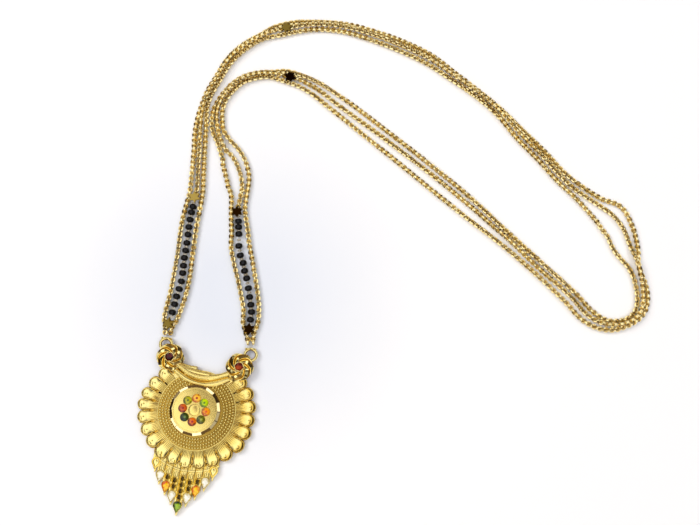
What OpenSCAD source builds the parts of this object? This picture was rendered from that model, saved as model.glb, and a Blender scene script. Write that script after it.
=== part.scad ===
// Mangalsutra: three strands of gold chain run round the neck as one loop, with black beads and
// star spacers near its ends, and an enamelled flower pendant hangs between the two ends.
// Millimetres, +Z up. The necklace lies on its back. The origin is the middle of its footprint,
// on the surface that it lies on.

/* [Chain] */
// Outside diameter of each of the three strands
strand_d = 1.8; // [1.5:0.1:1.8]
// Diameter of a black bead
bead_d = 2.7; // [2.4:0.1:2.7]
// Length of a black bead along its thread
bead_l = 1.9; // [1.6:0.1:1.9]
// Distance from the middle of a star spacer to its points
star_reach = 2.35; // [2:0.05:2.35]
// Thickness of the wire of the jump rings
ring_wire = 1.05; // [0.9:0.05:1.1]

/* [Pendant] */
// Radius to the round ends of most petals
petal_reach = 20.4; // [20.2:0.1:20.8]
// Thickness of the petals at their rims
rim_h = 1.7; // [1.5:0.1:1.8]
// Radius of the plain wire ring round the grains
wire_ring_r = 13.4; // [13.4:0.05:13.45]
// Radius of the medallion at its foot
medallion_r = 8.7; // [8.4:0.1:8.7]
// Height of the medallion
medallion_h = 2; // [1.8:0.1:2.2]
// Width of an enamelled drop
drop_w = 3.1; // [2.9:0.1:3.1]
// Diameter of the red stones
stone_d = 2.9; // [2.6:0.1:2.9]

/* [Hidden] */
$fn = 48;

// Clearance between pieces that don't touch
gap = 0.1;
bright_gold = [0.89, 0.71, 0.24];
chain_gold = [0.84, 0.69, 0.33];
stone_red = [0.45, 0.06, 0.04];
bead_black = [0.03, 0.03, 0.035];

// Route of the three strands, from the left jump ring round the neck to the right jump ring.
// Columns: x and y of the middle strand, and how far the outer strand lies to the left of the
// travel and the inner strand to the right of it.
ROUTE = [
    [-81, -29, 0.98, 0.98], [-80.8, -26.8, 1.2, 1.2], [-80.2, -23.6, 2.3, 2.3],
    [-79.6, -21.3, 2.5, 2.5], [-78.3, -15.7, 2.6, 2.9], [-77, -10, 3, 2.8], [-75.9, 0.5, 2.7, 2.7],
    [-74.8, 11.5, 2.75, 2.75], [-73.6, 18, 2.6, 2.55], [-72.9, 21.6, 2.5, 2.4], [-72.3, 30, 2.4, 2],
    [-72.2, 39, 2, 2], [-72, 47, 2, 2], [-71.6, 52, 1.6, 1.6], [-70.8, 57, 1.1, 1.1],
    [-69.4, 61.4, 1, 1], [-66.4, 67.2, 1, 1], [-62, 75.1, 1.05, 1.05], [-56, 81, 1.05, 1.05],
    [-49.2, 85, 1.1, 1.1], [-46.6, 86.2, 1.6, 1.6], [-43.6, 87.2, 2, 2], [-37.6, 88.6, 2, 2],
    [-30.6, 89.2, 1.6, 1.6], [-18.4, 88.2, 1.6, 1.6], [-9, 85.5, 1.85, 1.85], [2.5, 81, 2, 2],
    [13.8, 75.1, 1.9, 1.9], [21.5, 69.2, 1.5, 1.5], [39.5, 53.9, 1.3, 1.3], [47, 45, 1.9, 1.9],
    [54.8, 36.4, 2, 2], [61, 28.8, 2.2, 2], [67.5, 23, 2.4, 2.6], [74.2, 18.2, 2.7, 4.8],
    [79.3, 14.2, 4.5, 6.6], [82.6, 9.4, 3.5, 6.6], [84.4, 4, 2.8, 6.3], [85.5, 0.4, 2, 5.4],
    [85.9, -1.3, 1.5, 4.6], [86.3, -3, 0.95, 3.7], [87.1, -7.4, 0.95, 2.3], [87.8, -12, 1.6, 2],
    [87.8, -16.5, 1.8, 1.8], [86.9, -20.3, 1.6, 1.6], [84.5, -23.4, 1.15, 1.3], [81, -25.3, 1.1, 1.3],
    [77, -26, 1.6, 1.5], [73, -25.4, 2, 1.8], [68.5, -22.8, 2.5, 2.2], [62.3, -15.7, 2.8, 2.1],
    [54.2, -8, 2.4, 2.2], [40.2, 5.7, 3, 2], [27.5, 17.7, 4.3, 2.4], [-3.3, 43.4, 3.9, 2.85],
    [-21.7, 57.6, 2.9, 3.15], [-30.2, 64.3, 2.7, 2.4], [-35.8, 67.2, 2.4, 2], [-41.4, 68.7, 2, 2],
    [-43.8, 69, 1.5, 1.5], [-46, 69.2, 1.05, 1.05], [-52, 68.8, 1, 1], [-57.1, 67, 1.05, 1.05],
    [-61.5, 63.1, 1.15, 1.15], [-64.3, 59, 1.2, 1.2], [-65.9, 54.6, 1.8, 1.6], [-66, 50, 2, 2],
    [-65.4, 46.4, 2, 2], [-64.2, 42.9, 2.8, 1.6], [-62.9, 40, 3.6, 2], [-59.8, 36.6, 3.4, 4.4],
    [-57.3, 31.5, 3.2, 5.2], [-56.2, 27, 2.6, 5.2], [-56, 24, 2, 4.8], [-56.6, 20.6, 2.1, 3.3],
    [-57.3, 17, 2.5, 2.5], [-57.1, 13, 2.75, 2.55], [-56.7, 8, 3.2, 2.7], [-56.5, 2.5, 3.7, 2.9],
    [-55.2, -2.6, 3.5, 3.2], [-53.6, -9, 3.1, 3.1], [-52.3, -15.3, 2.9, 3], [-51.6, -21, 2.7, 2.7],
    [-51.8, -25.5, 2.5, 2.5], [-51.9, -28.6, 1.5, 1.4], [-51.7, -31, 0.98, 0.98],
    [-51.6, -32.7, 0.98, 0.98]
];
// Rows of the route between which the middle strand runs; it ends under the second and fifth stars
middle_from = 9;
middle_to = 75;
strand_sides = 8;
// Strands that lie one over another keep this distance between their middles
strand_pitch = strand_d + 0.3;

// Middle of each black bead, from the ring upwards
BEADS_LEFT = [
    [-79.6, -21.4], [-78.9, -18.5], [-78.3, -15.7], [-77.5, -13], [-76.8, -10.2], [-76.5, -7.2],
    [-76.3, -4.5], [-76.1, -1.6], [-75.7, 1.1], [-75.4, 3.9], [-75.1, 7], [-74.9, 9.8],
    [-74.6, 12.6], [-74.2, 15.3], [-73.7, 17.45]
];
BEADS_RIGHT = [
    [-51.8, -24.05], [-51.5, -21.3], [-51.8, -18.7], [-52.3, -15.9], [-52.8, -12.7], [-53.5, -9.1],
    [-54.3, -6.4], [-54.9, -3.5], [-56, -0.7], [-56.6, 2.8], [-56.7, 7.2], [-56.9, 9.8],
    [-57, 11.95]
];
// Ends of the two threads, under the stars
THREAD_LEFT_ENDS = [[-80.3, -24.6], [-73.1, 20.2]];
THREAD_RIGHT_ENDS = [[-52, -27.4], [-57.3, 15.6]];
bead_z = bead_d / 2 + 0.05;
thread_r = 0.2;
bead_bore_r = 0.43;

// Star spacers: x, y and turn
STARS = [
    [-80.6, -25.4, 8], [-73.1, 20.9, -4], [-40.6, 87.9, 15],
    [-39, 67.8, -12], [-57.5, 15.4, 0], [-52.2, -27.5, 2]
];
star_z = strand_d + 0.2;
star_edge_h = 0.45;
star_middle_h = 0.6;

// Pendant: its middle, and its turn against the necklace
pendant_x = -69.6;
pendant_y = -56;
pendant_turn = -9;

// Petals, anticlockwise from the left rosette: angle and how far each reaches past petal_reach
PETALS = [
    [141, -0.8], [156, -0.4], [170, 0.2], [181, 0.5], [194.5, 0.3], [209, -0.1], [222.5, -0.2],
    [239.5, 0], [253.5, -0.5], [268, -0.6], [283.7, -0.6], [298.7, -0.3], [314, -0.2], [330, 0.4],
    [345, 0.2], [359, 0], [373, 0.1], [387.5, 0.1], [402, -0.4]
];
// Half the angle of the first and the last petal on their outer side
end_half = 7.25;
// How much further a petal's middle reaches than its sides, and how round its end is
petal_round = 2.4;
petal_end_share = 0.9;
// Heights of the round field and of the ridges between petals
field_h = 2;
ridge_h = 1.95;
// Share of a petal's length past which its sides are rim and no longer ridge
rim_from = 0.9;
plate_inner_r = 13;
petal_root_r = 13.85;
// Radius of the plate's edge under the crest, and under the crest's two ends
crest_edge_r = 14.1;
crest_end_r = 16;
// Columns across one petal, from one valley to the next
ACROSS = [-1, -0.75, -0.4, 0, 0.4, 0.75];
// Rows along a petal, from its root to its rim: distance, and height of the hollow
ALONG = [[0.15, 1.45], [0.4, 1.15], [0.68, 1.1], [0.87, 1.2], [0.955, 1.65], [1, 1.7]];
crest_columns = 12;
// Rings of grains: radius and height of their middles
GRAIN_RINGS = [[9.8, 2.3], [10.7, 2.25], [11.6, 2.2], [12.5, 2.15]];
grain_r = 0.4;
wire_r = 0.3;
// Small holes pierced at the petals' roots: their angles, radius, length and width
ROOT_HOLES = [148.5, 163, 21, 34];
root_hole_r = 14.35;
root_hole_l = 0.9;
root_hole_w = 0.45;

// Medallion
medallion_x = -0.5;
medallion_y = 0.15;
medallion_z = field_h + gap;
medallion_top = medallion_z + medallion_h;
medallion_top_r = medallion_r - 0.65;
medallion_sides = 16;
// Turn of the flat sides against the pendant
medallion_turn = -6.5;
// Hollow in the medallion's top: radius and height from its upper edge
MEDALLION_DISH = [[0, -0.22], [5.5, -0.18], [7.5, 0.02], [7.5, 1], [0, 1]];
// Cups in a ring round the boss
cups = 8;
cup_ring_r = 3.95;
cup_r = 1.46;
cup_wall = 0.26;
cup_h = 0.35;
cup_foot = 0.4;
cup_floor_z = medallion_top - 0.25;
// Angle of the first enamelled cup
first_cup_angle = 180;
CUP_ENAMEL = [[0, 0], [1, 0], [1, 0.3], [0.68, 0.44], [0, 0.5]];
CUP_COLOURS = [
    [0.78, 0.27, 0.12], [0.15, 0.28, 0.1], [0.85, 0.35, 0.12], [0.2, 0.3, 0.1],
    [0.8, 0.3, 0.12], [0.72, 0.8, 0.12], [0.9, 0.5, 0.12], [0.7, 0.75, 0.12]
];
// Profile of the round boss: radius and height from the medallion's upper edge
BOSS = [[0, -0.4], [2.15, -0.4], [2.15, 0.2], [1.95, 0.36], [1.2, 0.46], [0, 0.5]];

// Rosettes and their stones, in the pendant's frame: x, y and the way their petals turn
ROSETTE_LEFT = [-12.6, 16.8, 1];
ROSETTE_RIGHT = [12, 17.2, -1];
rosette_r = 4.8;
rosette_lobe = 0.2;
rosette_lobes = 6;
rosette_columns = 42;
rosette_under_z = 2.05;
rosette_edge_z = 2.5;
rosette_rise = 1.3;
rosette_wave = 0.32;
rosette_twist = 28;
rosette_dome_r = 5;
rosette_middle_z = 3.6;
ROSETTE_ROWS = [1.7, 2.4, 3.1, 3.9, 4.5];
// Post that joins a rosette to the plate
rosette_post_r = 1.6;
rosette_post_z = 0.2;
rosette_post_h = 2.6;
bezel_r = 1.85;
bezel_wall = 0.25;
bezel_z = 4.2;
bezel_floor_z = 3.7;
// Profile of a stone: culet, girdle and table
stone_culet_r = 0.55;
stone_girdle_z = 0.4;
stone_girdle_h = 0.15;
stone_table = 0.62;
stone_h = 0.95;
stone_sides = 10;

// Jump rings, in the pendant's frame: x, y and radius to the middle of the wire
RING_LEFT = [-15.25, 21.2, 2];
RING_RIGHT = [14.9, 22.1, 2.05];
ring_z = 1.4;
eye_r = 0.92;
eye_wire = 0.23;
link_r = 1.15;
link_wire = 0.3;
link_side = 0.62;
// How far the links' middles lie outside the ring's wire
link_shift = 0.1;
link_z = 1.47;
// Directions in which the two pairs of links leave their rings
LINKS_LEFT_TURN = 86;
LINKS_RIGHT_TURN = 92.5;

// Crest bars: each row holds a point of the upper edge and one of the lower edge
UPPER_BAR = [
    [-9.6, 15.5, -10.4, 14.4], [-7.2, 14.3, -8.5, 13.2], [-4.7, 13.4, -5.9, 11.8],
    [-2.1, 12.9, -3.3, 10.9], [0.3, 12.8, -0.8, 10.6], [2.3, 13.05, 1.5, 10.75],
    [5, 13.7, 4.3, 11.4], [8.8, 15.4, 8.6, 13.1]
];
LOWER_BAR = [
    [-10.6, 14.1, -10.7, 12.2], [-8.4, 12.9, -8, 10.4], [-6, 11.7, -5.2, 9.1],
    [-3.5, 10.75, -2.2, 8.6], [-1.3, 10.35, 0.4, 8.5], [0.8, 10.45, 2.8, 8.5],
    [3.2, 11.2, 5.2, 9.1], [8.4, 13.2, 9.8, 11.7]
];
upper_bar_h = 3.3;
lower_bar_h = 2.8;
bar_edge_drop = 0.7;
bar_under_z = 0.1;
// Room between the medallion and the crest round it
medallion_room = 0.4;
// Places across a bar, and the share of its round top there
BAR_ACROSS = [[0, 0], [0.2, 0.7], [0.5, 1], [0.8, 0.7], [1, 0]];
// Feathers along the upper bar: start and end of the outer edge, and height
FEATHERS = [
    [-9.9, 16.2, -2.75, 15.15, 2.4], [-9.8, 15.6, -0.4, 14.05, 2.7], [-9.6, 15, 2.25, 13.5, 3]
];
feather_w = 1.2;

// Fringe: the columns' places from its middle, and the middle of the drop under each
fringe_x = -0.5;
COLUMNS = [[0, -32.7], [2.6, -29.5], [5.2, -26.75], [7.8, -23.5], [10, -19.6]];
column_w = 2.7;
// How far above a drop's point its column and the ridges beside it start
column_foot = 1;
ridge_foot = 2;
fringe_z = 0.1;
fringe_h = 1.3;
fringe_top_r = 18;
rail_r = 20.35;
rail_w = 0.8;
rail_h = 1.5;
rail_half_angle = 33;
fringe_ridge_w = 0.32;
fringe_ridge_h = 1.6;
hole_w = 0.95;
hole_l = 1.45;
hole_pitch = 2.05;
first_hole = 3.4;
// Solid band between the rail and the highest hole
hole_clear = 1.2;
// Drops: distance from the round middle to the point, and of the middle from the column's end
drop_point = 2.85;
drop_rise = 0.65;
drop_h = 1.8;
// Leaf behind the point of a drop
DROP_TIP = [[-0.45, -2], [0.45, -2], [0, -drop_point - 1.2]];
drop_tip_h = 1.08;
drop_wall = 0.3;
drop_floor_z = 0.9;
DROP_COLOURS = [
    [0.93, 0.91, 0.84], [0.93, 0.6, 0.13], [0.93, 0.91, 0.84], [0.5, 0.6, 0.15],
    [0.93, 0.91, 0.84], [0.93, 0.6, 0.13], [0.93, 0.91, 0.84]
];

// Vector helpers
function unit(v) = v / norm(v);
function dir(a) = [cos(a), sin(a)];
function clamp_index(list, i) = max(0, min(len(list) - 1, i));
// Direction of a list of places at one of its rows
function heading(list, i) =
    let (a = list[clamp_index(list, i - 1)], b = list[clamp_index(list, i + 1)])
    unit([b[0] - a[0], b[1] - a[1]]);

// Sweeps a round section of radius r along 3-D points
module tube(points, r, sides) {
    n = len(points);
    function forward(i) = unit(points[min(n - 1, i + 1)] - points[max(0, i - 1)]);
    rings = [
        for (i = [0 : n - 1])
            let (t = forward(i), across = unit([t[1], -t[0], 0]), over = cross(across, t))
            for (k = [0 : sides - 1])
                let (a = (k + 0.5) * 360 / sides)
                points[i] + r * (cos(a) * across + sin(a) * over)
    ];
    walls = [
        for (i = [0 : n - 2])
            for (k = [0 : sides - 1])
                let (a = i * sides + k, b = i * sides + (k + 1) % sides)
                each [[a, a + sides, b], [b, a + sides, b + sides]]
    ];
    first = [for (k = [0 : sides - 1]) k];
    last = [for (k = [sides - 1 : -1 : 0]) (n - 1) * sides + k];
    polyhedron(rings, concat(walls, [first, last]), convexity = 8);
}

// Closed solid over a star-shaped outline: a list of rings of points, from the inside to the
// rim, with a middle point over and under, and an underside at the height z_under
module relief(rings, middle_z, z_under) {
    columns = len(rings[0]);
    rows = len(rings);
    rim = rings[rows - 1];
    top = [for (ring = rings) each ring];
    under = [for (p = rim) [p[0], p[1], z_under]];
    base = rows * columns;
    middle_top = base + columns;
    middle_under = middle_top + 1;
    skin = [
        for (i = [0 : rows - 2])
            for (k = [0 : columns - 1])
                let (a = i * columns + k, b = i * columns + (k + 1) % columns)
                each [[a, b, a + columns], [b, b + columns, a + columns]]
    ];
    wall = [
        for (k = [0 : columns - 1])
            let (a = base - columns + k, b = base - columns + (k + 1) % columns)
            each [[a, b, a + columns], [b, b + columns, a + columns]]
    ];
    caps = [
        for (k = [0 : columns - 1])
            let (n = (k + 1) % columns)
            each [[middle_top, n, k], [middle_under, base + k, base + n]]
    ];
    points = concat(top, under, [[0, 0, middle_z], [0, 0, z_under]]);
    polyhedron(points, concat(skin, wall, caps), convexity = 10);
}

module in_pendant() {
    translate([pendant_x, pendant_y, 0]) rotate(pendant_turn) children();
}

// Petal plate

function petal_low(i) = i == 0 ? PETALS[0][0] - end_half : (PETALS[i - 1][0] + PETALS[i][0]) / 2;
function petal_high(i) =
    i == len(PETALS) - 1 ? PETALS[i][0] + end_half : (PETALS[i][0] + PETALS[i + 1][0]) / 2;
function petal_angle(i, u) =
    let (c = PETALS[i][0]) u < 0 ? c + u * (c - petal_low(i)) : c + u * (petal_high(i) - c);
function petal_end(i, u) =
    petal_reach + PETALS[i][1] - petal_round * (1 - sqrt(1 - petal_end_share * u * u));

// The plate reaches further out at the first two and the last column under the crest
function crest_reach(k) = k < 2 || k == crest_columns - 1 ? crest_end_r : crest_edge_r;

// Columns of the plate: angle, outer radius and place across the petal
function plate_columns() =
    let (first = petal_high(len(PETALS) - 1), last = petal_low(0) + 360)
    concat(
        [for (i = [0 : len(PETALS) - 1]) for (u = ACROSS) [petal_angle(i, u), petal_end(i, u), u]],
        [
            for (k = [0 : crest_columns - 1])
                [first + k * (last - first) / crest_columns, crest_reach(k), 1]
        ]
    );

// Height of a petal: a hollow with a raised ridge on each side
function petal_z(row, u) =
    let (edge = row[0] > rim_from ? rim_h : ridge_h) row[1] + (edge - row[1]) * pow(abs(u), 3);

module petal_plate() {
    columns = plate_columns();
    field = [for (c = columns) [plate_inner_r * cos(c[0]), plate_inner_r * sin(c[0]), field_h]];
    root = [for (c = columns) [petal_root_r * cos(c[0]), petal_root_r * sin(c[0]), ridge_h]];
    petals = [
        for (row = ALONG)
            [
                for (c = columns)
                    let (r = petal_root_r + row[0] * (c[1] - petal_root_r))
                    [r * cos(c[0]), r * sin(c[0]), petal_z(row, c[2])]
            ]
    ];
    relief(concat([field, root], petals), field_h, 0);
}

module grain_rings() {
    for (ring = GRAIN_RINGS)
        translate([0, 0, ring[1]]) rotate_extrude() translate([ring[0], 0]) circle(r = grain_r);
    translate([0, 0, field_h + 0.25]) rotate_extrude() translate([wire_ring_r, 0]) circle(r = wire_r);
}

module root_holes() {
    for (a = ROOT_HOLES)
        rotate(a) translate([root_hole_r, 0, -1])
            linear_extrude(5) square([root_hole_l, root_hole_w], center = true);
}

// Crest

function rosette_reach(a) = rosette_r + rosette_lobe * cos(rosette_lobes * a);
function rosette_top(r, a, way) =
    let (along = (r - ROSETTE_ROWS[0]) / (rosette_r - ROSETTE_ROWS[0]))
    rosette_edge_z + rosette_rise * sqrt(max(0, 1 - pow(r / rosette_dome_r, 2)))
    + rosette_wave * cos(rosette_lobes * (a - way * rosette_twist * along));

module rosette(place) {
    angles = [for (k = [0 : rosette_columns - 1]) k * 360 / rosette_columns];
    inner = [
        for (r = ROSETTE_ROWS)
            [for (a = angles) [r * cos(a), r * sin(a), rosette_top(r, a, place[2])]]
    ];
    rim = [for (a = angles) let (r = rosette_reach(a)) [r * cos(a), r * sin(a), rosette_edge_z]];
    translate([place[0], place[1], 0]) {
        relief(concat(inner, [rim]), rosette_middle_z, rosette_under_z);
        translate([0, 0, rosette_post_z]) cylinder(r = rosette_post_r, h = rosette_post_h);
        translate([0, 0, rosette_edge_z]) cylinder(r = bezel_r, h = bezel_z - rosette_edge_z);
    }
}

module bezel_pocket(place) {
    translate([place[0], place[1], bezel_floor_z]) cylinder(r = bezel_r - bezel_wall, h = 3);
}

// Loop under a rosette that the jump ring passes through
module ring_eye(ring, rosette) {
    to = unit([rosette[0] - ring[0], rosette[1] - ring[1]]);
    translate([ring[0] + ring[2] * to[0], ring[1] + ring[2] * to[1], ring_z])
        rotate(atan2(to[1], to[0]))
            rotate([90, 0, 0])
                rotate_extrude() translate([eye_r, 0]) circle(r = eye_wire);
}

// A bar between two edges, with a rounded top, solid down to the back
module bar(rows, height) {
    rings = len(BAR_ACROSS);
    points = [
        for (row = rows)
            each concat(
                [
                    for (b = BAR_ACROSS)
                        [
                            row[0] + b[0] * (row[2] - row[0]),
                            row[1] + b[0] * (row[3] - row[1]),
                            height - bar_edge_drop * (1 - b[1])
                        ]
                ],
                [[row[2], row[3], bar_under_z], [row[0], row[1], bar_under_z]]
            )
    ];
    n = rings + 2;
    walls = [
        for (i = [0 : len(rows) - 2])
            for (k = [0 : n - 1])
                let (a = i * n + k, b = i * n + (k + 1) % n)
                each [[a, a + n, b], [b, a + n, b + n]]
    ];
    first = [for (k = [0 : n - 1]) k];
    last = [for (k = [n - 1 : -1 : 0]) (len(rows) - 1) * n + k];
    polyhedron(points, concat(walls, [first, last]), convexity = 6);
}

module feathers() {
    for (f = FEATHERS) {
        from = [f[0], f[1]];
        to = [f[2], f[3]];
        along = unit(to - from);
        side = feather_w * [along[1], -along[0]];
        linear_extrude(f[4]) polygon([from, to, to + side, from + side]);
    }
}

module crest() {
    difference() {
        union() {
            bar(UPPER_BAR, upper_bar_h);
            bar(LOWER_BAR, lower_bar_h);
            feathers();
        }
        translate([medallion_x, medallion_y, field_h - 0.05])
            cylinder(r = medallion_r + medallion_room, h = 3);
    }
}

// Fringe

function column_top(x) = -sqrt(fringe_top_r * fringe_top_r - x * x);
// Circle with a point below it, reaching r to the sides and point * r / (drop_w / 2) down
module drop_outline(r) {
    d = drop_point * 2 * r / drop_w;
    c = r / d;
    s = sqrt(1 - c * c);
    circle(r = r);
    polygon([[r * s, -r * c], [-r * s, -r * c], [0, -d]]);
}

module slot_outline() {
    straight = hole_l - hole_w;
    square([hole_w, straight], center = true);
    for (side = [-1, 1]) translate([0, side * straight / 2]) circle(d = hole_w);
}

// Places the children at the round part of each drop
module at_drop(k) {
    column = COLUMNS[abs(k)];
    translate([fringe_x + sign(k) * column[0], column[1] + drop_rise, 0]) children();
}

module rail_outline() {
    intersection() {
        difference() {
            circle(r = rail_r + rail_w / 2, $fn = 96);
            circle(r = rail_r - rail_w / 2, $fn = 96);
        }
        polygon([
            [0, 0],
            1.5 * rail_r * dir(270 - rail_half_angle),
            [0, -2 * rail_r],
            1.5 * rail_r * dir(270 + rail_half_angle)
        ]);
    }
}

module fringe_outline() {
    for (k = [-4 : 4]) {
        column = COLUMNS[abs(k)];
        x = fringe_x + sign(k) * column[0];
        low = column[1] + column_foot;
        translate([x - column_w / 2, low]) square([column_w, column_top(x) - low]);
    }
}

module fringe_holes() {
    for (k = [-3 : 3]) {
        column = COLUMNS[abs(k)];
        x = fringe_x + sign(k) * column[0];
        first = column[1] + first_hole;
        last = -sqrt(pow(rail_r + rail_w / 2, 2) - x * x) - hole_l / 2 - hole_clear;
        for (y = [first : hole_pitch : last]) translate([x, y]) slot_outline();
    }
}

module fringe() {
    translate([0, 0, fringe_z]) linear_extrude(fringe_h)
        difference() {
            fringe_outline();
            fringe_holes();
        }
    translate([0, 0, fringe_z]) linear_extrude(rail_h) rail_outline();
    for (k = [0 : 3])
        for (side = [-1, 1]) {
            x = fringe_x + side * (COLUMNS[k][0] + COLUMNS[k + 1][0]) / 2;
            low = COLUMNS[k + 1][1] + ridge_foot;
            translate([x - fringe_ridge_w / 2, low, fringe_z + 0.2])
                cube([fringe_ridge_w, column_top(x) - low, fringe_ridge_h]);
        }
    for (k = [-4 : 4])
        at_drop(k) {
            translate([0, 0, fringe_z]) linear_extrude(drop_h) drop_outline(drop_w / 2);
            translate([0, 0, fringe_z]) linear_extrude(drop_tip_h) polygon(DROP_TIP);
        }
}

module drop_pockets() {
    for (k = [-3 : 3])
        at_drop(k) translate([0, 0, drop_floor_z]) linear_extrude(3) drop_outline(drop_w / 2 - drop_wall);
}

module pendant_body() {
    color(bright_gold) in_pendant() {
        difference() {
            union() {
                petal_plate();
                grain_rings();
                crest();
                rosette(ROSETTE_LEFT);
                rosette(ROSETTE_RIGHT);
                ring_eye(RING_LEFT, ROSETTE_LEFT);
                ring_eye(RING_RIGHT, ROSETTE_RIGHT);
                fringe();
            }
            root_holes();
            bezel_pocket(ROSETTE_LEFT);
            bezel_pocket(ROSETTE_RIGHT);
            drop_pockets();
        }
    }
}

// Medallion

function cup_angle(k) = first_cup_angle + (k - 1) * 360 / cups;

// A round block with flat sides, narrower at its top
module frustum(sides, r_low, r_high, height) {
    low = [for (k = [0 : sides - 1]) [each r_low * dir((k + 0.5) * 360 / sides), 0]];
    high = [for (k = [0 : sides - 1]) [each r_high * dir((k + 0.5) * 360 / sides), height]];
    walls = [
        for (k = [0 : sides - 1])
            let (n = (k + 1) % sides)
            [k, k + sides, n + sides, n]
    ];
    foot = [for (k = [0 : sides - 1]) k];
    top = [for (k = [sides - 1 : -1 : 0]) sides + k];
    polyhedron(concat(low, high), concat(walls, [foot, top]));
}

module medallion() {
    color(bright_gold) in_pendant() translate([medallion_x, medallion_y, 0]) {
        difference() {
            union() {
                difference() {
                    translate([0, 0, medallion_z])
                        rotate(medallion_turn)
                            frustum(medallion_sides, medallion_r, medallion_top_r, medallion_h);
                    translate([0, 0, medallion_top])
                        rotate_extrude() polygon(MEDALLION_DISH);
                }
                for (k = [1 : cups])
                    rotate(cup_angle(k))
                        translate([cup_ring_r, 0, medallion_top - cup_foot])
                            cylinder(r = cup_r, h = cup_foot + cup_h);
                translate([0, 0, medallion_top]) rotate_extrude() polygon(BOSS);
            }
            for (k = [1 : cups])
                rotate(cup_angle(k))
                    translate([cup_ring_r, 0, cup_floor_z])
                        cylinder(r = cup_r - cup_wall, h = 3);
        }
    }
}

// Enamel

module cup_enamel(k) {
    r = cup_r - cup_wall - gap;
    color(CUP_COLOURS[k - 1])
        in_pendant()
            translate([medallion_x, medallion_y, 0])
                rotate(cup_angle(k))
                    translate([cup_ring_r, 0, cup_floor_z + gap])
                        rotate_extrude() polygon([for (p = CUP_ENAMEL) [p[0] * r, p[1]]]);
}

module drop_enamel(k) {
    color(DROP_COLOURS[k - 1])
        in_pendant()
            at_drop(k - 4)
                translate([0, 0, drop_floor_z + gap])
                    linear_extrude(drop_h + fringe_z - drop_floor_z - gap)
                        drop_outline(drop_w / 2 - drop_wall - gap);
}

// A round stone with a flat table, a girdle and ten facets above and below
module stone(place) {
    r = stone_d / 2;
    color(stone_red)
        in_pendant()
            translate([place[0], place[1], bezel_floor_z + gap])
                rotate_extrude($fn = stone_sides)
                    polygon([
                        [0, 0],
                        [stone_culet_r, 0],
                        [r, stone_girdle_z],
                        [r, stone_girdle_z + stone_girdle_h],
                        [stone_table * r, stone_h],
                        [0, stone_h]
                    ]);
}

// Rings and links

module jump_ring(place) {
    color(bright_gold)
        in_pendant()
            translate([place[0], place[1], ring_z])
                rotate_extrude() translate([place[2], 0]) circle(d = ring_wire);
}

// Two small links side by side on a jump ring, one for each strand that ends there
module end_links(place, turn) {
    out = sqrt(pow(place[2], 2) - pow(link_side, 2)) + link_shift;
    color(chain_gold)
        in_pendant()
            translate([place[0], place[1], link_z])
                rotate(turn - pendant_turn)
                    for (side = [-1, 1])
                        translate([out, side * link_side, 0])
                            rotate([90, 0, 0])
                                rotate_extrude() translate([link_r, 0]) circle(r = link_wire);
}

// Chain

// Height that the middle strand rides at where its neighbours close in under it
function middle_lift(row) =
    let (near = min(row[2], row[3])) sqrt(max(0, strand_pitch * strand_pitch - near * near));

// A strand of the route: side is 1 for the outer, 0 for the middle and -1 for the inner one
function strand(side, first, last) = [
    for (i = [first : last])
        let (
            row = ROUTE[i],
            h = heading(ROUTE, i),
            shift = side > 0 ? row[2] : side < 0 ? -row[3] : 0
        )
        [
            row[0] - shift * h[1],
            row[1] + shift * h[0],
            strand_d / 2 + (side == 0 ? middle_lift(row) : 0)
        ]
];

module chain_strand(side, first, last) {
    color(chain_gold) tube(strand(side, first, last), strand_d / 2, strand_sides);
}

// Beads on a thread

function with_ends(beads, ends) = concat([ends[0]], beads, [ends[1]]);

module beads(list, ends) {
    all = with_ends(list, ends);
    color(bead_black)
        for (i = [1 : len(list)]) {
            h = heading(all, i);
            translate([all[i][0], all[i][1], bead_z])
                rotate(atan2(h[1], h[0]))
                    rotate([0, 90, 0])
                        difference() {
                            intersection() {
                                sphere(d = bead_d);
                                translate([0, 0, -bead_l / 2]) cylinder(d = 2 * bead_d, h = bead_l);
                            }
                            translate([0, 0, -bead_l]) cylinder(r = bead_bore_r, h = 2 * bead_l);
                        }
        }
}

module bead_thread(list, ends) {
    color(chain_gold)
        tube([for (p = with_ends(list, ends)) [p[0], p[1], bead_z]], thread_r, strand_sides);
}

// A six-pointed star, raised to a blunt middle
module star(place) {
    valley = star_reach / sqrt(3);
    rim = [for (k = [0 : 11]) (k % 2 == 0 ? star_reach : valley) * dir(k * 30)];
    top = [for (p = rim) [p[0], p[1], star_edge_h]];
    color(bright_gold)
        translate([place[0], place[1], star_z])
            rotate(place[2] + 90)
                relief([top], star_middle_h, 0);
}

pendant_body();
medallion();
for (k = [1 : cups])
    cup_enamel(k);
for (k = [1 : 7])
    drop_enamel(k);
stone(ROSETTE_LEFT);  // stone_left
stone(ROSETTE_RIGHT);  // stone_right
jump_ring(RING_LEFT);  // jump_ring_left
jump_ring(RING_RIGHT);  // jump_ring_right
end_links(RING_LEFT, LINKS_LEFT_TURN);  // end_links_left
end_links(RING_RIGHT, LINKS_RIGHT_TURN);  // end_links_right
chain_strand(1, 0, len(ROUTE) - 1);  // chain_outer
chain_strand(0, middle_from, middle_to);  // chain_middle
chain_strand(-1, 0, len(ROUTE) - 1);  // chain_inner
beads(BEADS_LEFT, THREAD_LEFT_ENDS);  // beads_left
beads(BEADS_RIGHT, THREAD_RIGHT_ENDS);  // beads_right
bead_thread(BEADS_LEFT, THREAD_LEFT_ENDS);  // bead_thread_left
bead_thread(BEADS_RIGHT, THREAD_RIGHT_ENDS);  // bead_thread_right
for (k = [1 : 6])
    star(STARS[k - 1]);
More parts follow.
